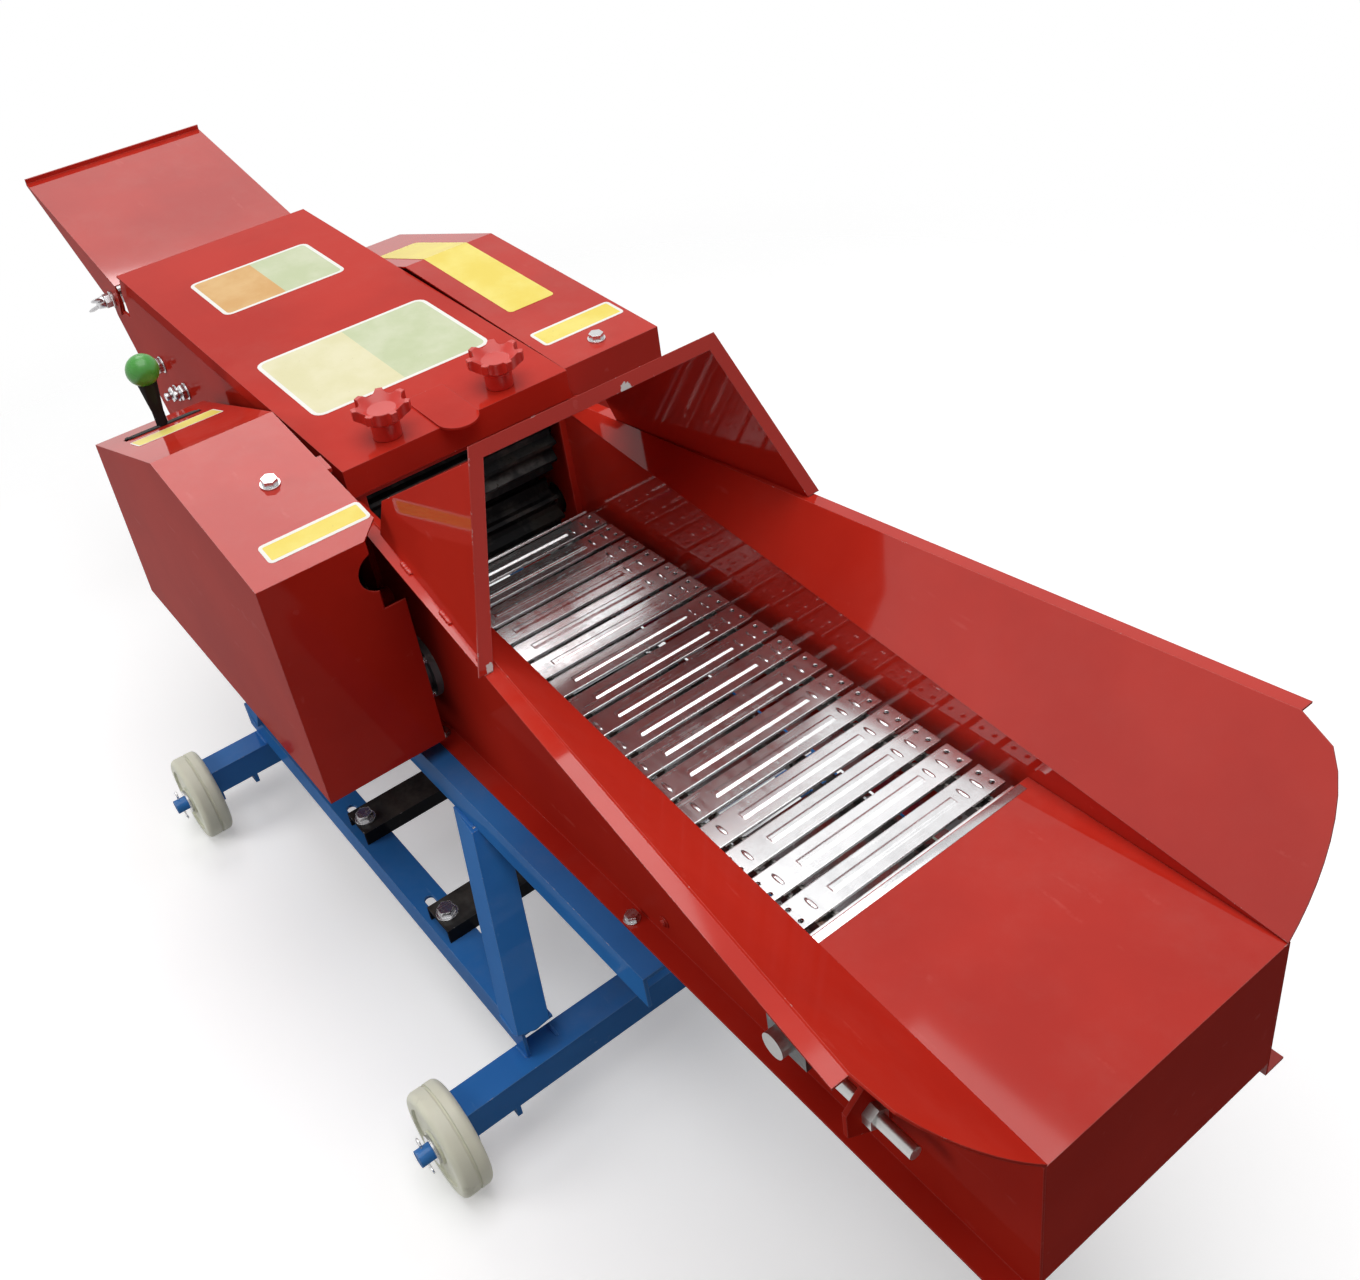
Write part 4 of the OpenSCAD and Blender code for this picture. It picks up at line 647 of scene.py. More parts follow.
@dataclass(frozen=True)
class Facet:
    """Flat panel across the machine, given by two points of its side view in millimetres.

    Attributes:
        front: Distance behind the front face and height over the deck of the front edge.
        rear: The same for the rear edge.
    """

    front: tuple[float, float]
    rear: tuple[float, float]

    def place(self, places: Places, d: float, y: float, lift: float = 0.0) -> Matrix:
        """Frame on the panel: X to the rear, Y to the near side, Z out of it.

        Args:
            places: Places on the machine.
            d: Distance behind the front face, in millimetres.
            y: Distance across.
            lift: Distance out of the panel.

        Returns:
            The frame.
        """
        share = (d - self.front[0]) / (self.rear[0] - self.front[0])
        height = self.front[1] + share * (self.rear[1] - self.front[1])
        front, rear = (places.at(edge[0], 0.0, edge[1]) for edge in (self.front, self.rear))
        along = (rear - front).normalized()
        out = Vector((0, 1, 0)).cross(along)
        turn = Matrix((along, out.cross(along), out)).transposed().to_4x4()
        return Matrix.Translation(places.at(d, y, height) + out * lift * MM) @ turn


class Bench:
    """Mesh of one new piece and the small tools that shape it. Lengths are in metres.

    Attributes:
        EAR: Rings of a wing nut's ear: distance out, height and radius, over the hub's radius.
        LEG: Points of a split pin's leg: distance across over the shank's radius, and along over its reach.
        RIPPLES: Height, over the bead's radius, and rate of the waves along a weld bead.
    """

    EAR: ClassVar[tuple[Point, ...]] = (
        (0.5, 0.5, 0.45), (1.2, 0.8, 0.6), (2.0, 1.35, 0.75), (2.6, 1.75, 0.62), (2.95, 1.9, 0.25))
    LEG: ClassVar[tuple[tuple[float, float], ...]] = (
        (0.45, 1.0), (0.45, -1.0), (0.9, -1.25), (2.4, -1.5), (4.0, -1.6))
    RIPPLES: ClassVar[tuple[tuple[float, float], ...]] = ((0.13, 2.1), (0.08, 5.3))

    def __init__(self) -> None:
        """Start with an empty mesh."""
        self.bm = bmesh.new()

    @staticmethod
    def edges_of(verts: Iterable[bmesh.types.BMVert]) -> list[bmesh.types.BMEdge]:
        """Edges that touch the vertices, each once."""
        return list(dict.fromkeys(e for v in verts for e in v.link_edges))

    def move(self, verts: Iterable[bmesh.types.BMVert], matrix: Matrix) -> None:
        """Carry vertices by a matrix."""
        bmesh.ops.transform(self.bm, matrix=matrix, verts=list(verts))

    def soften(self, edges: list[bmesh.types.BMEdge], width: float, segments: int = 2) -> list[bmesh.types.BMVert]:
        """Round the edges, and hand back the vertices that this makes."""
        return bmesh.ops.bevel(self.bm, geom=edges, offset=width, segments=segments, profile=0.5,
                               affect="EDGES", material=-1)["verts"]

    def box(self, place: Matrix, size: Sequence[float], edge: float = 0.0) -> None:
        """Add a block that stands on its place along its own Z.

        Args:
            place: Frame of the middle of the block's foot.
            size: Sides of the block.
            edge: Width of the softened edges.
        """
        verts = bmesh.ops.create_cube(self.bm, size=1.0)["verts"]
        self.move(verts, raised(place, size[2] / 2) @ Matrix.Diagonal((*size, 1.0)))
        if edge:
            self.soften(self.edges_of(verts), edge)

    def disc(self, place: Matrix, radius: float, height: float, sides: int = 24, edge: float = 0.0,
             top: float | None = None) -> None:
        """Add a round or many-sided block that stands on its place along its own Z.

        Args:
            place: Frame of the middle of the block's foot.
            radius: Radius of the foot.
            height: Height of the block.
            sides: Number of sides.
            edge: Width of the softened rims.
            top: Radius of the top, where it differs.
        """
        made = bmesh.ops.create_cone(self.bm, cap_ends=True, segments=sides, radius1=radius,
                                     radius2=radius if top is None else top, depth=height)
        verts = made["verts"]
        self.move(verts, raised(place, height / 2))
        if edge:
            rims = [e for e in self.edges_of(verts) if any(len(f.verts) > 4 for f in e.link_faces)]
            self.soften(rims, edge)

    def bolt(self, place: Matrix, size: float, stub: float = 0.0) -> None:
        """Add a washer and a hexagon head or nut, and the end of a thread past it.

        Args:
            place: Frame of the seat, with Z out of the surface.
            size: Diameter of the thread.
            stub: Length of thread past the head.
        """
        washer, head = 0.18 * size, 0.62 * size
        seat = raised(place, washer)
        self.disc(place, 1.05 * size, washer, sides=24, edge=0.05 * size)
        self.disc(seat, 0.98 * size, head, sides=6, edge=0.09 * size)
        if stub:
            self.disc(raised(seat, head), 0.48 * size, stub, sides=16, edge=0.08 * size)

    def wing_nut(self, place: Matrix, size: float) -> None:
        """Add a wing nut: a tapered hub and two flat ears that lean outwards.

        Args:
            place: Frame of the seat, with Z out of the surface and X along the ears.
            size: Radius of the hub.
        """
        self.disc(place, size, 1.1 * size, sides=20, edge=0.1 * size, top=0.8 * size)
        across = place.to_3x3().col[1]
        for side in SIDES:
            points = [place @ Vector((side * u * size, 0, w * size)) for u, w, _ in self.EAR]
            self.tube(points, [r * size for _, _, r in self.EAR], across, sides=10, flat=0.32)

    def split_pin(self, place: Matrix, reach: float, radius: float) -> None:
        """Add a split pin across a shaft: an eye, a shank and two spread ends.

        Args:
            place: Frame of the shaft's middle, with Z along the pin.
            reach: Half of the shank's length.
            radius: Radius of the shank.
        """
        across = place.to_3x3().col[1]
        loop, height = 2.2 * radius, reach + 2.0 * radius
        turns = [k * math.pi / 5 for k in range(10)]
        eye = [place @ Vector((loop * math.cos(turn), 0, height + loop * math.sin(turn))) for turn in turns]
        self.tube(eye, [0.7 * radius] * len(eye), across, sides=6, closed=True)
        for side in SIDES:
            points = [place @ Vector((side * u * radius, 0, w * reach)) for u, w in self.LEG]
            self.tube(points, [0.62 * radius] * len(points), across, sides=6)

    def plate(self, place: Matrix, length: float, width: float, thick: float, border: float,
              split: float | None = None, ends: Sequence[int] = SIDES) -> None:
        """Add a thin plate with rounded corners, a border and one or two fields.

        Args:
            place: Frame of the plate's middle, with Z out of the surface.
            length: Side along X.
            width: Side along Y.
            thick: Thickness.
            border: Width of the border, which takes the first material.
            split: Place along Y where the second field ends and the third begins.
            ends: Ends along X that have rounded corners, as -1 and 1.
        """
        before = set(self.bm.verts)
        verts = bmesh.ops.create_cube(self.bm, size=1.0)["verts"]
        self.move(verts, Matrix.Translation((0, 0, thick / 2)) @ Matrix.Diagonal((length, width, thick, 1.0)))
        posts = [e for e in self.edges_of(verts) if abs(e.verts[0].co.z - e.verts[1].co.z) > thick / 2
                 and math.copysign(1, e.verts[0].co.x) in ends]
        corner = max(min(length, width) * 0.08, border * 1.4)
        faces = {f for v in self.soften(posts, corner, segments=4) for f in v.link_faces}
        top = [f for f in faces if f.normal.z > 0.9]
        if border:
            bmesh.ops.inset_region(self.bm, faces=top, thickness=border, use_even_offset=True)
        for face in top:
            face.material_index = 1
        if split is not None:
            geom = top + list({e for f in top for e in f.edges}) + list({v for f in top for v in f.verts})
            made = bmesh.ops.bisect_plane(self.bm, geom=geom, plane_co=(0, split, 0), plane_no=(0, 1, 0))
            for face in (g for g in made["geom"] if isinstance(g, bmesh.types.BMFace)):
                face.material_index = 2 if face.calc_center_median().y > split else 1
        self.move([v for v in self.bm.verts if v not in before], place)

    def tube(self, points: Sequence[Vector], radii: Sequence[float], up: Sequence[float], sides: int = 8,
             flat: float = 1.0, closed: bool = False) -> None:
        """Sweep a round section along points.

        Args:
            points: Middle of each ring.
            radii: Radius of each ring.
            up: Direction that stays across the run.
            sides: Number of sides.
            flat: Height of the section over its width.
            closed: Whether the last ring joins the first.
        """
        count = len(points)
        frames = []
        for k, point in enumerate(points):
            before = points[(k - 1) % count] if closed or k else point
            after = points[(k + 1) % count] if closed or k < count - 1 else point
            run = (after - before).normalized()
            side = run.cross(Vector(up)).normalized()
            lift = side.cross(run)
            turn = Matrix((side, lift, run)).transposed().to_4x4()
            size = Matrix.Diagonal((radii[k], radii[k] * flat, radii[k], 1))
            frames.append(Matrix.Translation(point) @ turn @ size)
        ring = bmesh.ops.create_circle(self.bm, cap_ends=not closed, segments=sides, radius=1.0)["verts"]
        first = edges = self.edges_of(ring)
        self.move(ring, frames[0])
        for before, after in zip(frames, frames[1:]):
            made = bmesh.ops.extrude_edge_only(self.bm, edges=edges)["geom"]
            ring = [g for g in made if isinstance(g, bmesh.types.BMVert)]
            edges = [g for g in made if isinstance(g, bmesh.types.BMEdge) and all(v in ring for v in g.verts)]
            self.move(ring, after @ before.inverted())
        if closed:
            bmesh.ops.bridge_loops(self.bm, edges=first + edges)
        else:
            bmesh.ops.contextual_create(self.bm, geom=edges)

    def bead(self, start: Vector, end: Vector, radius: float, up: Sequence[float]) -> None:
        """Add a rippled weld bead from one point to another.

        Args:
            start: First end.
            end: Other end.
            radius: Radius of the bead.
            up: Direction out of the weld.
        """
        count = max(6, int((end - start).length / (radius * 0.7)))
        points = [start.lerp(end, k / count) for k in range(count + 1)]
        radii = [radius * (1.0 + sum(height * math.sin(k * rate) for height, rate in self.RIPPLES))
                 for k in range(count + 1)]
        radii[0] *= 0.5
        radii[-1] *= 0.5
        self.tube(points, radii, up, sides=8, flat=0.65)

    def finish(self, name: str, body: Body, slot: Slot) -> bpy.types.Object:
        """Make the mesh an object that rides on a body.

        Args:
            name: Name of the piece.
            body: Body that carries it.
            slot: Slot of the record; not used.

        Returns:
            The piece.
        """
        bmesh.ops.recalc_face_normals(self.bm, faces=self.bm.faces)
        mesh = bpy.data.meshes.new(name)
        self.bm.to_mesh(mesh)
        self.bm.free()
        mesh.shade_smooth()
        mesh.set_sharp_from_angle(angle=SHARP_ANGLE)
        piece = added(name, mesh)
        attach(piece, body.value)
        log.info("%s rides on %s", name, body.value)
        return piece


@dataclass
class Trim:
    """One sub-assembly of new pieces. A child class shapes them and names their finishes.

    Attributes:
        places: Places on the machine.
        made: Each finished piece with the names of its materials.
    """

    places: Places
    made: list[tuple[bpy.types.Object, tuple[str, ...]]] = field(default_factory=list)

    def build(self) -> None:
        """Shape the pieces."""
        raise NotImplementedError

    def keep(self, bench: Bench, name: str, body: Body, slot: Slot, *finishes: str) -> None:
        """Finish a mesh and remember its materials.

        Args:
            bench: Bench that holds the mesh.
            name: Name of the piece.
            body: Body that carries it.
            slot: Slot of the record.
            finishes: Names of its materials, in the order of the faces' numbers.
        """
        self.made.append((bench.finish(name, body, slot), finishes))

    def dress(self, finishes: Finishes) -> None:
        """Give each piece its materials."""
        for piece, names in self.made:
            for name in names:
                piece.data.materials.append(finishes[name])


@dataclass
class FilmTrim(Trim):
    """Sub-assembly with blank plates or strips of film. Lengths are in millimetres.

    Attributes:
        lift: Gap under the film.
        thick: Thickness of the film.
    """

    lift: float = 0.05
    thick: float = 0.3


@dataclass
class CoverPlates(FilmTrim):
    """Two blank plates on the hinged cover, each with a pale border and two plain fields.

    Attributes:
        panel: Upper face of the cover.
        border: Width of the pale border.
        plates: Name, both ends, both sides and second field's finish of each plate.
    """

    panel: Facet = Facet((950.0, 161.0), (1651.0, 161.0 + 701.0 * math.tan(math.radians(3.0))))
    border: float = 5.0
    plates: tuple[tuple[str, float, float, float, float, str], ...] = (
        ("cover_plate_front", 1070.0, 1246.0, -116.0, 122.0, "cream film"),
        ("cover_plate_rear", 1402.0, 1534.0, -85.0, 93.0, "tan film"))

    def build(self) -> None:
        """Shape both plates."""
        for name, low, high, left, right, second in self.plates:
            bench = Bench()
            place = self.panel.place(self.places, (low + high) / 2, (left + right) / 2, self.lift)
            bench.plate(place, (high - low) * MM, (right - left) * MM, self.thick * MM, self.border * MM, split=0.0)
            self.keep(bench, name, Body.COVER, Slot.RED, "white film", "green film", second)


@dataclass
class GuardTrim(FilmTrim):
    """Blank strips on both guards and a rubber edging round the lever's slot.

    Attributes:
        gear_front: Front panel of the gear guard.
        gear_rear: Rear panel of the gear guard.
        belt_front: Front panel of the belt guard.
        belt_rear: Rear panel of the belt guard.
        band: Front end, ridge, rear end and both sides of the band over the belt guard.
        lever_slot: Distance behind the front face, place across, half length and half width of the lever's slot.
        corner: Radius of the slot's corners over its half length.
        wire: Radius of the edging.
        wire_lift: Height of the edging's middle over the guard.
    """

    gear_front: Facet = Facet((826.0, 146.0), (1080.0, 192.0))
    gear_rear: Facet = Facet((1080.0, 192.0), (1366.0, 104.0))
    belt_front: Facet = Facet((953.0, 159.2), (1334.0, 187.0))
    belt_rear: Facet = Facet((1334.0, 187.0), (1643.0, 110.0))
    band: tuple[float, ...] = (1116.0, 1334.0, 1500.0, 178.0, 246.0)
    lever_slot: tuple[float, ...] = (1299.6, -232.0, 8.0, 47.0)
    corner: float = 0.45
    wire: float = 1.6
    wire_lift: float = 0.6

    def strip(self, bench: Bench, panel: Facet, low: float, high: float, left: float, right: float,
              border: float = 0.0, ends: Sequence[int] = SIDES) -> None:
        """Lay one strip on a panel between two distances along and two across.

        Args:
            bench: Bench that holds the mesh.
            panel: Panel under the strip.
            low: Distance of the front end behind the front face.
            high: Distance of the rear end.
            left: Place of one side across the machine.
            right: Place of the other side.
            border: Width of the pale border.
            ends: Ends that have rounded corners, as -1 for the front one and 1 for the rear one.
        """
        slope = math.hypot(1.0, (panel.rear[1] - panel.front[1]) / (panel.rear[0] - panel.front[0]))
        place = panel.place(self.places, (low + high) / 2, (left + right) / 2, self.lift)
        length = (high - low) * slope * MM
        bench.plate(place, length, (right - left) * MM, self.thick * MM, border * MM, ends=ends)

    def build(self) -> None:
        """Shape the strips, the band and the edging."""
        for name, panel, low, high, left, right, border in (
                ("gear_guard_strip", self.gear_front, 854.0, 885.0, -275.0, -160.0, 4.0),
                ("lever_strip", self.gear_rear, 1216.0, 1264.0, -284.0, -176.0, 2.0),
                ("belt_guard_strip", self.belt_front, 1012.0, 1051.0, 163.0, 281.0, 4.0)):
            bench = Bench()
            self.strip(bench, panel, low, high, left, right, border)
            self.keep(bench, name, Body.MACHINE, Slot.RED, "white film", "yellow film")
        bench = Bench()
        front, ridge, rear, left, right = self.band
        self.strip(bench, self.belt_front, front, ridge, left, right, ends=(-1,))
        self.strip(bench, self.belt_rear, ridge, rear, left, right, ends=(1,))
        self.keep(bench, "belt_guard_band", Body.MACHINE, Slot.RED, "tan film", "yellow film")
        self.build_edging()

    def build_edging(self) -> None:
        """Shape the edging round the lever's slot."""
        bench = Bench()
        d, y, half_d, half_y = self.lever_slot
        place = self.gear_rear.place(self.places, d, y, self.wire_lift)
        radius = self.corner * half_d
        ring = []
        for k, (u, w) in enumerate(((-half_d, -half_y), (-half_d, half_y), (half_d, half_y), (half_d, -half_y))):
            centre = Vector((u - math.copysign(radius, u), w - math.copysign(radius, w), 0))
            for step in range(5):
                angle = math.radians(180 - 90 * k - 90 * step / 4)
                ring.append(place @ ((centre + radius * Vector((math.cos(angle), -math.sin(angle), 0))) * MM))
        bench.tube(ring, [self.wire * MM] * len(ring), place.to_3x3().col[2], sides=8, closed=True)
        self.keep(bench, "lever_slot_edging", Body.MACHINE, Slot.BLACK, "rubber")


@dataclass
class ConveyorTrim(Trim):
    """Dents pressed into the slats and the bright strip along the deck cover's rear edge. Lengths are in millimetres.

    Attributes:
        first_slat: Distance of the first slat behind the front face.
        pitch: Distance from slat to slat.
        slats: Number of slats with dents.
        slat_top: Height of the slats' upper faces over the deck.
        dents: Place of each dent across a slat.
        sway: How far the dents wander across, from slat to slat.
        sway_rate: Turn of that wandering for each slat, in radians.
        dent: Radius of a dent's foot, its height and the radius of its top.
        dent_length: Length of a dent over its width.
        strip: Length, width and thickness of the bright strip.
        strip_place: Distance of the strip behind the front face, place across and height over the deck.
        strip_edge: Width of its softened edges.
    """

    first_slat: float = 238.3
    pitch: float = 38.1
    slats: int = 18
    slat_top: float = -5.0
    dents: tuple[float, ...] = (-96.0, 82.0, 99.0)
    sway: float = 2.0
    sway_rate: float = 1.7
    dent: tuple[float, float, float] = (2.6, 1.0, 1.0)
    dent_length: float = 3.2
    strip: tuple[float, float, float] = (8.5, 246.0, 0.5)
    strip_place: Point = (243.0, 0.0, 0.03)
    strip_edge: float = 0.2

    def build(self) -> None:
        """Shape the dents and the strip."""
        bench = Bench()
        foot, height, top = (size * MM for size in self.dent)
        stretch = Matrix.Diagonal((self.dent_length, 1.0, 1.0, 1.0))
        for k in range(self.slats):
            sway = self.sway * math.sin(k * self.sway_rate)
            for y in self.dents:
                place = self.places.frame_at(self.first_slat + k * self.pitch, y + sway, self.slat_top, UP)
                bench.disc(place @ stretch, foot, height, sides=12, top=top)
        self.keep(bench, "slat_dents", Body.MACHINE, Slot.ZINC, "bright slat")
        bench = Bench()
        size = [side * MM for side in self.strip]
        bench.box(self.places.frame_at(*self.strip_place, UP), size, self.strip_edge * MM)
        self.keep(bench, "deck_edge_strip", Body.MACHINE, Slot.ZINC, "zinc plate")


@dataclass
class HousingTrim(Trim):
    """Nuts on the near plate, wing nuts on the chute's pivots and bolts in the conveyor's bearing flanges.

    Attributes:
        plate_y: Place of the nuts' seat on the near plate, across the machine, in millimetres.
        studs: Distance behind the front face and height of each nut on the near plate.
        stud: Thread of those studs, and its length past the nut.
        chute_pivot: Distance behind the front face, place across and height of the chute's pivots.
        wing: Radius of a wing nut's hub.
        wing_turn: Turn of its ears, in degrees.
        flange: Distance behind the front face, place across and height of the flanges' middles.
        flange_ring: Radius of the ring of bolts in a flange.
        flange_thread: Thread of those bolts.
    """

    plate_y: float = -144.05
    studs: tuple[tuple[float, float], ...] = ((1580.0, 80.0), (1552.0, 44.0), (1497.0, 66.0))
    stud: tuple[float, float] = (12.0, 9.0)
    chute_pivot: Point = (1725.0, 160.3, 141.9)
    wing: float = 9.5
    wing_turn: float = 35.0
    flange: Point = (886.0, 145.1, -76.6)
    flange_ring: float = 33.8
    flange_thread: float = 4.6

    def build(self) -> None:
        """Shape the nuts and bolts."""
        bench = Bench()
        thread, stub = self.stud
        for d, z in self.studs:
            bench.bolt(self.places.frame_at(d, self.plate_y, z, (0, -1, 0)), thread * MM, stub * MM)
        self.keep(bench, "housing_studs", Body.MACHINE, Slot.ZINC, "zinc plate")
        bench = Bench()
        d, y, z = self.chute_pivot
        for side in SIDES:
            place = self.places.frame_at(d, side * y, z, (0, side, 0))
            bench.wing_nut(place @ Matrix.Rotation(math.radians(self.wing_turn), 4, "Z"), self.wing * MM)
        self.keep(bench, "chute_wing_nuts", Body.MACHINE, Slot.ZINC, "zinc plate")
        bench = Bench()
        d, y, z = self.flange
        for side in SIDES:
            for turn in (math.radians(45 + 90 * k) for k in range(4)):
                along, rise = self.flange_ring * math.cos(turn), self.flange_ring * math.sin(turn)
                place = self.places.frame_at(d + along, side * y, z + rise, (0, side, 0))
                bench.bolt(place, self.flange_thread * MM)
        self.keep(bench, "bearing_flange_bolts", Body.MACHINE, Slot.ZINC, "zinc plate")


@dataclass
class FrameWelds(Trim):
    """Weld beads of the frame and the hood, rivets in the trough's walls and the axles' split pins.

    Attributes:
        bead: Radius of a weld bead, in millimetres.
        hood_runs: Ends of each bead at the hood's feet, as distances behind the front face.
        hood_foot: Distance behind the front face, place across and height of the hood's front foot.
        hood_taper: How much nearer to the middle the feet come for each millimetre to the rear.
        leg_runs: Ends of each bead at the legs and axle beams, as x, y and height over the ground, on one side.
        axles: Distance along and height of each axle, and how far out its pin is.
        pin: Half length and radius of a split pin.
        pin_turn: Turn of a split pin about its axle, in degrees.
        rivet: Place of the painted rivet on a trough wall.
        rivet_rim: Radius and height of the rivet's rim.
        rivet_head: Radius of the rivet's head at its foot, its height and its radius at the top.
    """

    bead: float = 2.6
    hood_runs: tuple[tuple[float, float], ...] = ((582.0, 606.0), (668.0, 694.0), (770.0, 798.0))
    hood_foot: Point = (578.0, 191.5, 123.0)
    hood_taper: float = 36.1 / 284.0
    leg_runs: tuple[tuple[float, ...], ...] = (
        (368.0, 245.4, 402.0, 248.8, 142.6), (405.4, 244.0, 405.8, 215.0, 142.6),
        (370.0, 250.4, 403.0, 252.4, 142.2), (-336.0, 245.8, -303.0, 248.0, 142.6),
        (-300.8, 246.0, -302.8, 213.0, 142.6), (-334.0, 250.6, -298.0, 252.8, 142.2),
        (230.0, 185.2, 270.0, 185.2, 310.8), (-409.0, 185.2, -374.0, 185.2, 310.8),
        (388.0, 248.4, 408.0, 248.4, 102.8), (388.0, 207.6, 408.0, 207.6, 102.8),
        (-339.0, 248.4, -303.0, 248.4, 102.8), (-339.0, 207.6, -303.0, 207.6, 102.8))
    axles: tuple[Point, ...] = ((406.0, 62.5, 388.0), (-321.0, 62.5, 388.0))
    pin: tuple[float, float] = (12.5, 2.0)
    pin_turn: float = 24.0
    rivet: Point = (447.0, 137.05, -139.0)
    rivet_rim: tuple[float, float] = (6.5, 1.2)
    rivet_head: tuple[float, float, float] = (4.8, 3.0, 3.4)

    def build(self) -> None:
        """Shape the beads, the pins and the rivets."""
        self.build_beads()
        bench = Bench()
        reach, radius = self.pin
        for x, z, y in self.axles:
            for side in SIDES:
                turn = Matrix.Rotation(math.radians(self.pin_turn * side), 4, "Y")
                place = Matrix.Translation(Vector((x, side * y, z)) * MM) @ turn
                bench.split_pin(place, reach * MM, radius * MM)
        self.keep(bench, "axle_split_pins", Body.MACHINE, Slot.ZINC, "zinc plate")
        bench = Bench()
        d, y, z = self.rivet
        rim, rim_height = (size * MM for size in self.rivet_rim)
        foot, height, top = (size * MM for size in self.rivet_head)
        for side in SIDES:
            place = self.places.frame_at(d, side * y, z, (0, side, 0))
            bench.disc(place, rim, rim_height, sides=20, edge=rim_height / 4)
            bench.disc(raised(place, rim_height), foot, height, sides=20, edge=0.3 * height, top=top)
        self.keep(bench, "wall_rivets", Body.MACHINE, Slot.RED, "red paint")

    def build_beads(self) -> None:
        """Shape the weld beads of the hood and the frame."""
        bench = Bench()
        start, y, z = self.hood_foot
        for side in SIDES:
            for run in self.hood_runs:
                ends = [self.places.at(d, side * (y - (d - start) * self.hood_taper), z) for d in run]
                bench.bead(*ends, self.bead * MM, UP)
        self.keep(bench, "hood_welds", Body.MACHINE, Slot.RED, "red paint")
        bench = Bench()
        for x0, y0, x1, y1, z in self.leg_runs:
            for side in SIDES:
                ends = [Vector((x, side * y, z)) * MM for x, y in ((x0, y0), (x1, y1))]
                bench.bead(*ends, self.bead * MM, UP)
        self.keep(bench, "frame_welds", Body.MACHINE, Slot.BLUE, "blue paint")


@dataclass(frozen=True)
class Lamp:
    """Soft square lamp.

    Attributes:
        name: Name of the lamp.
        place: Where it hangs.
        target: Where it points.
        size: Side of its face, in metres.
        power: Power in watts.
        mirrored: Whether gloss and metal show it.
    """

    name: str
    place: Point
    target: Point
    size: float
    power: float
    mirrored: bool = True

    def hang(self) -> None:
        """Put the lamp into the scene."""
        data = bpy.data.lights.new(self.name, "AREA")
        data.shape = "SQUARE"
        data.size = self.size
        data.energy = self.power
        lamp = added(self.name, data)
        lamp.visible_glossy = self.mirrored
        aim = Vector(self.target) - Vector(self.place)
        lamp.matrix_world = Matrix.Translation(self.place) @ aim.to_track_quat("-Z", "Y").to_matrix().to_4x4()


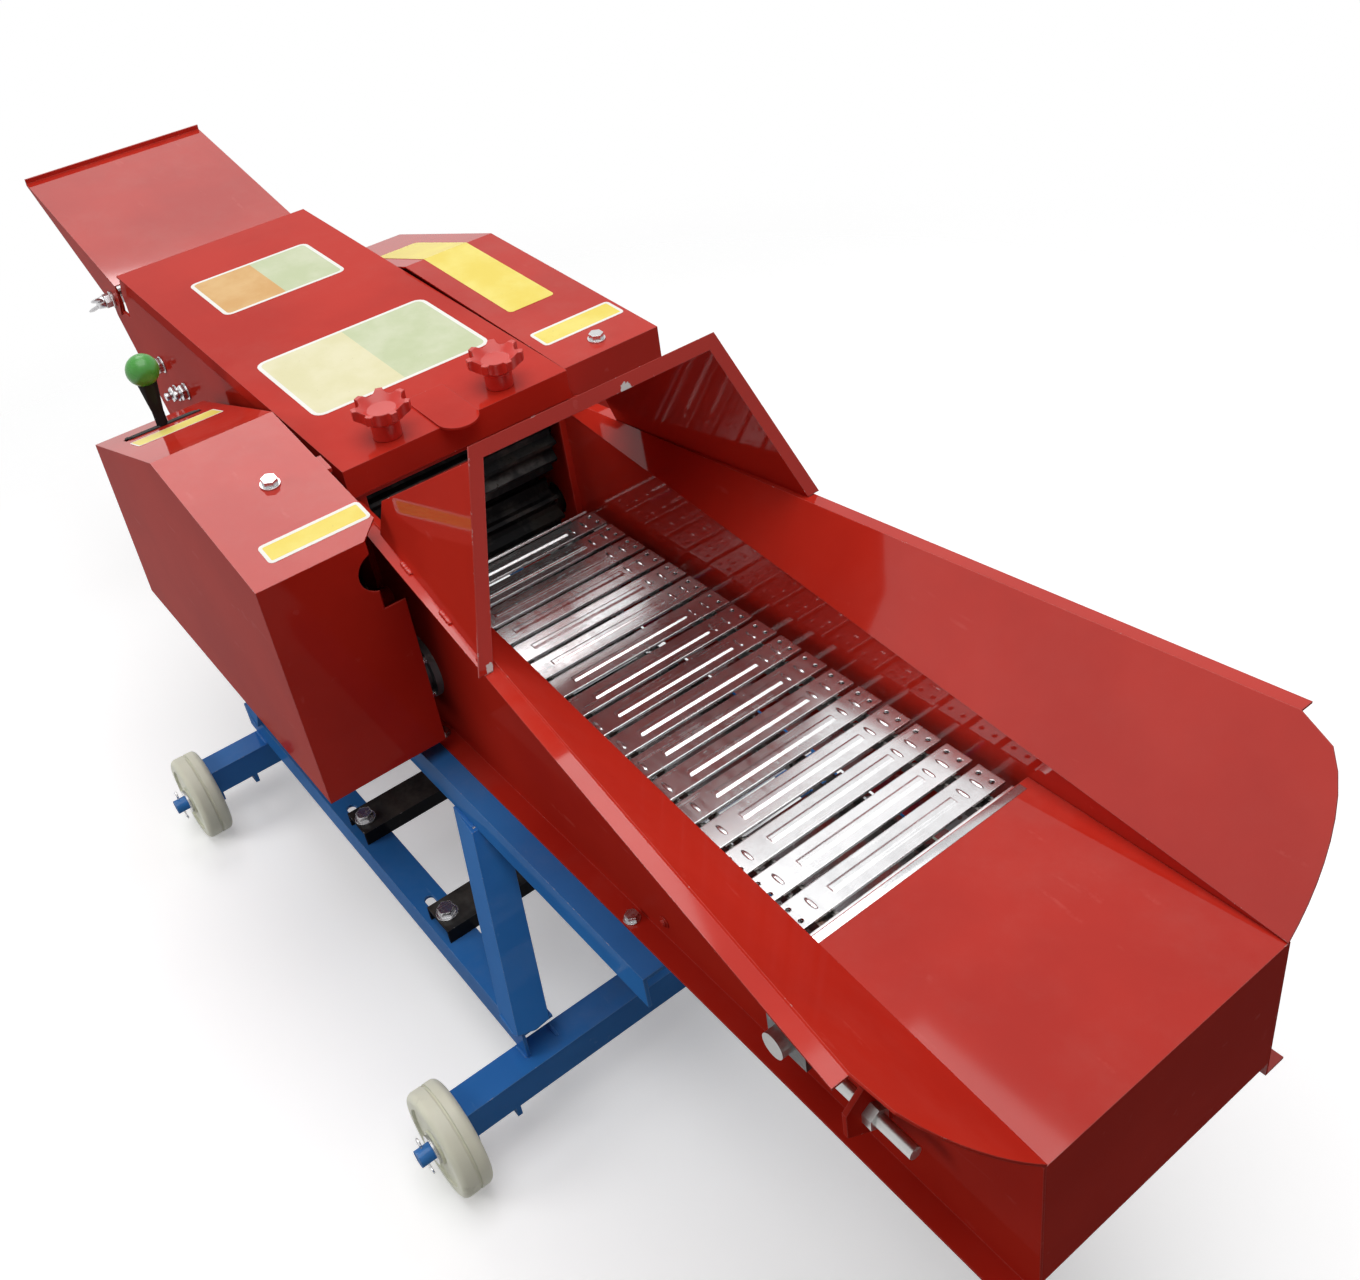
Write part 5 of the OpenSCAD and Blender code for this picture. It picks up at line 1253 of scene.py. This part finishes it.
@dataclass
class Studio:
    """Camera at the photograph's angle, a pale floor and soft lamps.

    Attributes:
        location: Place of the camera.
        right: Direction of the picture's right side.
        up: Direction of its upper side.
        back: Direction from the picture to the camera.
        lens: Focal length, in millimetres.
        sensor: Width of the sensor.
        shift: Shift of the picture to the right and up, over its width.
        near: Distance from which the camera sees, in metres.
        fill: Strength of the world's light on the machine.
        bounce: Grey of the floor for the light that it throws back.
        glow: Light of the floor's own, as the camera sees it.
        floor_half: Half of the floor's side, in metres.
        fade: Distances from the middle at which the floor begins and ends to fade into the white.
        lamps: Soft lamps.
    """

    location: Point = (1.36501, -0.57443, 1.40933)
    right: Point = (0.591401, 0.794784, -0.136244)
    up: Point = (-0.381940, 0.424893, 0.820724)
    back: Point = (0.710188, -0.433340, 0.554842)
    lens: float = 37.308
    sensor: float = 36.0
    shift: tuple[float, float] = (0.0261, -0.0743)
    near: float = 0.02
    fill: float = 0.14
    bounce: float = 0.4
    glow: float = 0.28
    floor_half: float = 4.0
    fade: tuple[float, float] = (1.3, 2.4)
    lamps: tuple[Lamp, ...] = (
        Lamp("sky panel", (0.7, 0.0, 3.4), (0.6, 0.0, 0.4), size=2.8, power=75.0),
        Lamp("rear panel", (-2.1, 0.5, 3.2), (-0.2, 0.0, 0.7), size=1.5, power=27.0),
        Lamp("side panel", (-0.8, -3.0, 2.0), (0.1, 0.0, 0.5), size=1.6, power=30.0, mirrored=False),
        Lamp("far panel", (0.3, 3.0, 1.8), (0.1, 0.0, 0.5), size=1.6, power=18.0, mirrored=False))

    def camera(self) -> None:
        """Set the camera."""
        data = bpy.data.cameras.new("camera")
        data.sensor_fit = "HORIZONTAL"
        data.sensor_width = self.sensor
        data.lens = self.lens
        data.shift_x, data.shift_y = self.shift
        data.clip_start = self.near
        camera = added("camera", data)
        turn = Matrix((self.right, self.up, self.back)).transposed().to_4x4()
        camera.matrix_world = Matrix.Translation(self.location) @ turn
        bpy.context.scene.camera = camera

    @staticmethod
    def seen(g: Graph) -> Sock:
        """1 for what the camera sees, straight or in a reflection; 0 for light that fills the room."""
        straight, glossy, through = (g.node("ShaderNodeLightPath", output=f"Is {kind} Ray")
                                     for kind in ("Camera", "Glossy", "Transmission"))
        return straight.larger(glossy).larger(through)

    def floor(self) -> None:
        """Lay the pale floor, which fades into the white far from the machine."""
        bm = bmesh.new()
        bmesh.ops.create_grid(bm, x_segments=1, y_segments=1, size=self.floor_half)
        mesh = bpy.data.meshes.new("floor")
        bm.to_mesh(mesh)
        bm.free()
        floor = added("floor", mesh)
        g = Surface("pale floor")
        reach = g.node("ShaderNodeVectorMath", {"operation": "LENGTH"}, {0: g.here}, "Value")
        pale = g.blend(g.noise(1.2).over(0.4, 0.6), (0.93, 0.93, 0.93), (0.95, 0.95, 0.95))
        colour = g.blend(self.seen(g), (self.bounce,) * 3, pale)
        glow = g.blend(self.seen(g), (0.0, 0.0, 0.0), (self.glow,) * 3)
        mesh.materials.append(g.finish({"Base Color": colour, "Roughness": 0.95, "Specular IOR Level": 0.0,
                                        "Emission Color": glow, "Emission Strength": 1.0,
                                        "Alpha": 1.0 - reach.over(*self.fade)}))

    def world(self) -> None:
        """Fill the room softly, and show white to the camera and in reflections."""
        world = bpy.data.worlds.new("studio")
        bpy.context.scene.world = world
        world.use_nodes = True
        g = Graph(world.node_tree)
        strength = self.seen(g) * (1.0 - self.fill) + self.fill
        shown = g.node("ShaderNodeBackground", {}, {"Color": (1.0, 1.0, 1.0), "Strength": strength})
        output = world.node_tree.nodes.new("ShaderNodeOutputWorld")
        g.put(output.inputs["Surface"], shown)

    def build(self) -> None:
        """Set up the whole studio."""
        bpy.context.scene.view_settings.view_transform = "Standard"
        self.camera()
        self.floor()
        self.world()
        for lamp in self.lamps:
            lamp.hang()


def main() -> None:
    """Dress the machine, add its trim and set up the studio."""
    Studio().build()
    finishes = Finishes()
    finishes.dress_nodes()
    places = Places()
    for kind in (CoverPlates, GuardTrim, ConveyorTrim, HousingTrim, FrameWelds):
        trim = kind(places)
        trim.build()
        trim.dress(finishes)


if __name__ == "__main__":
    main()
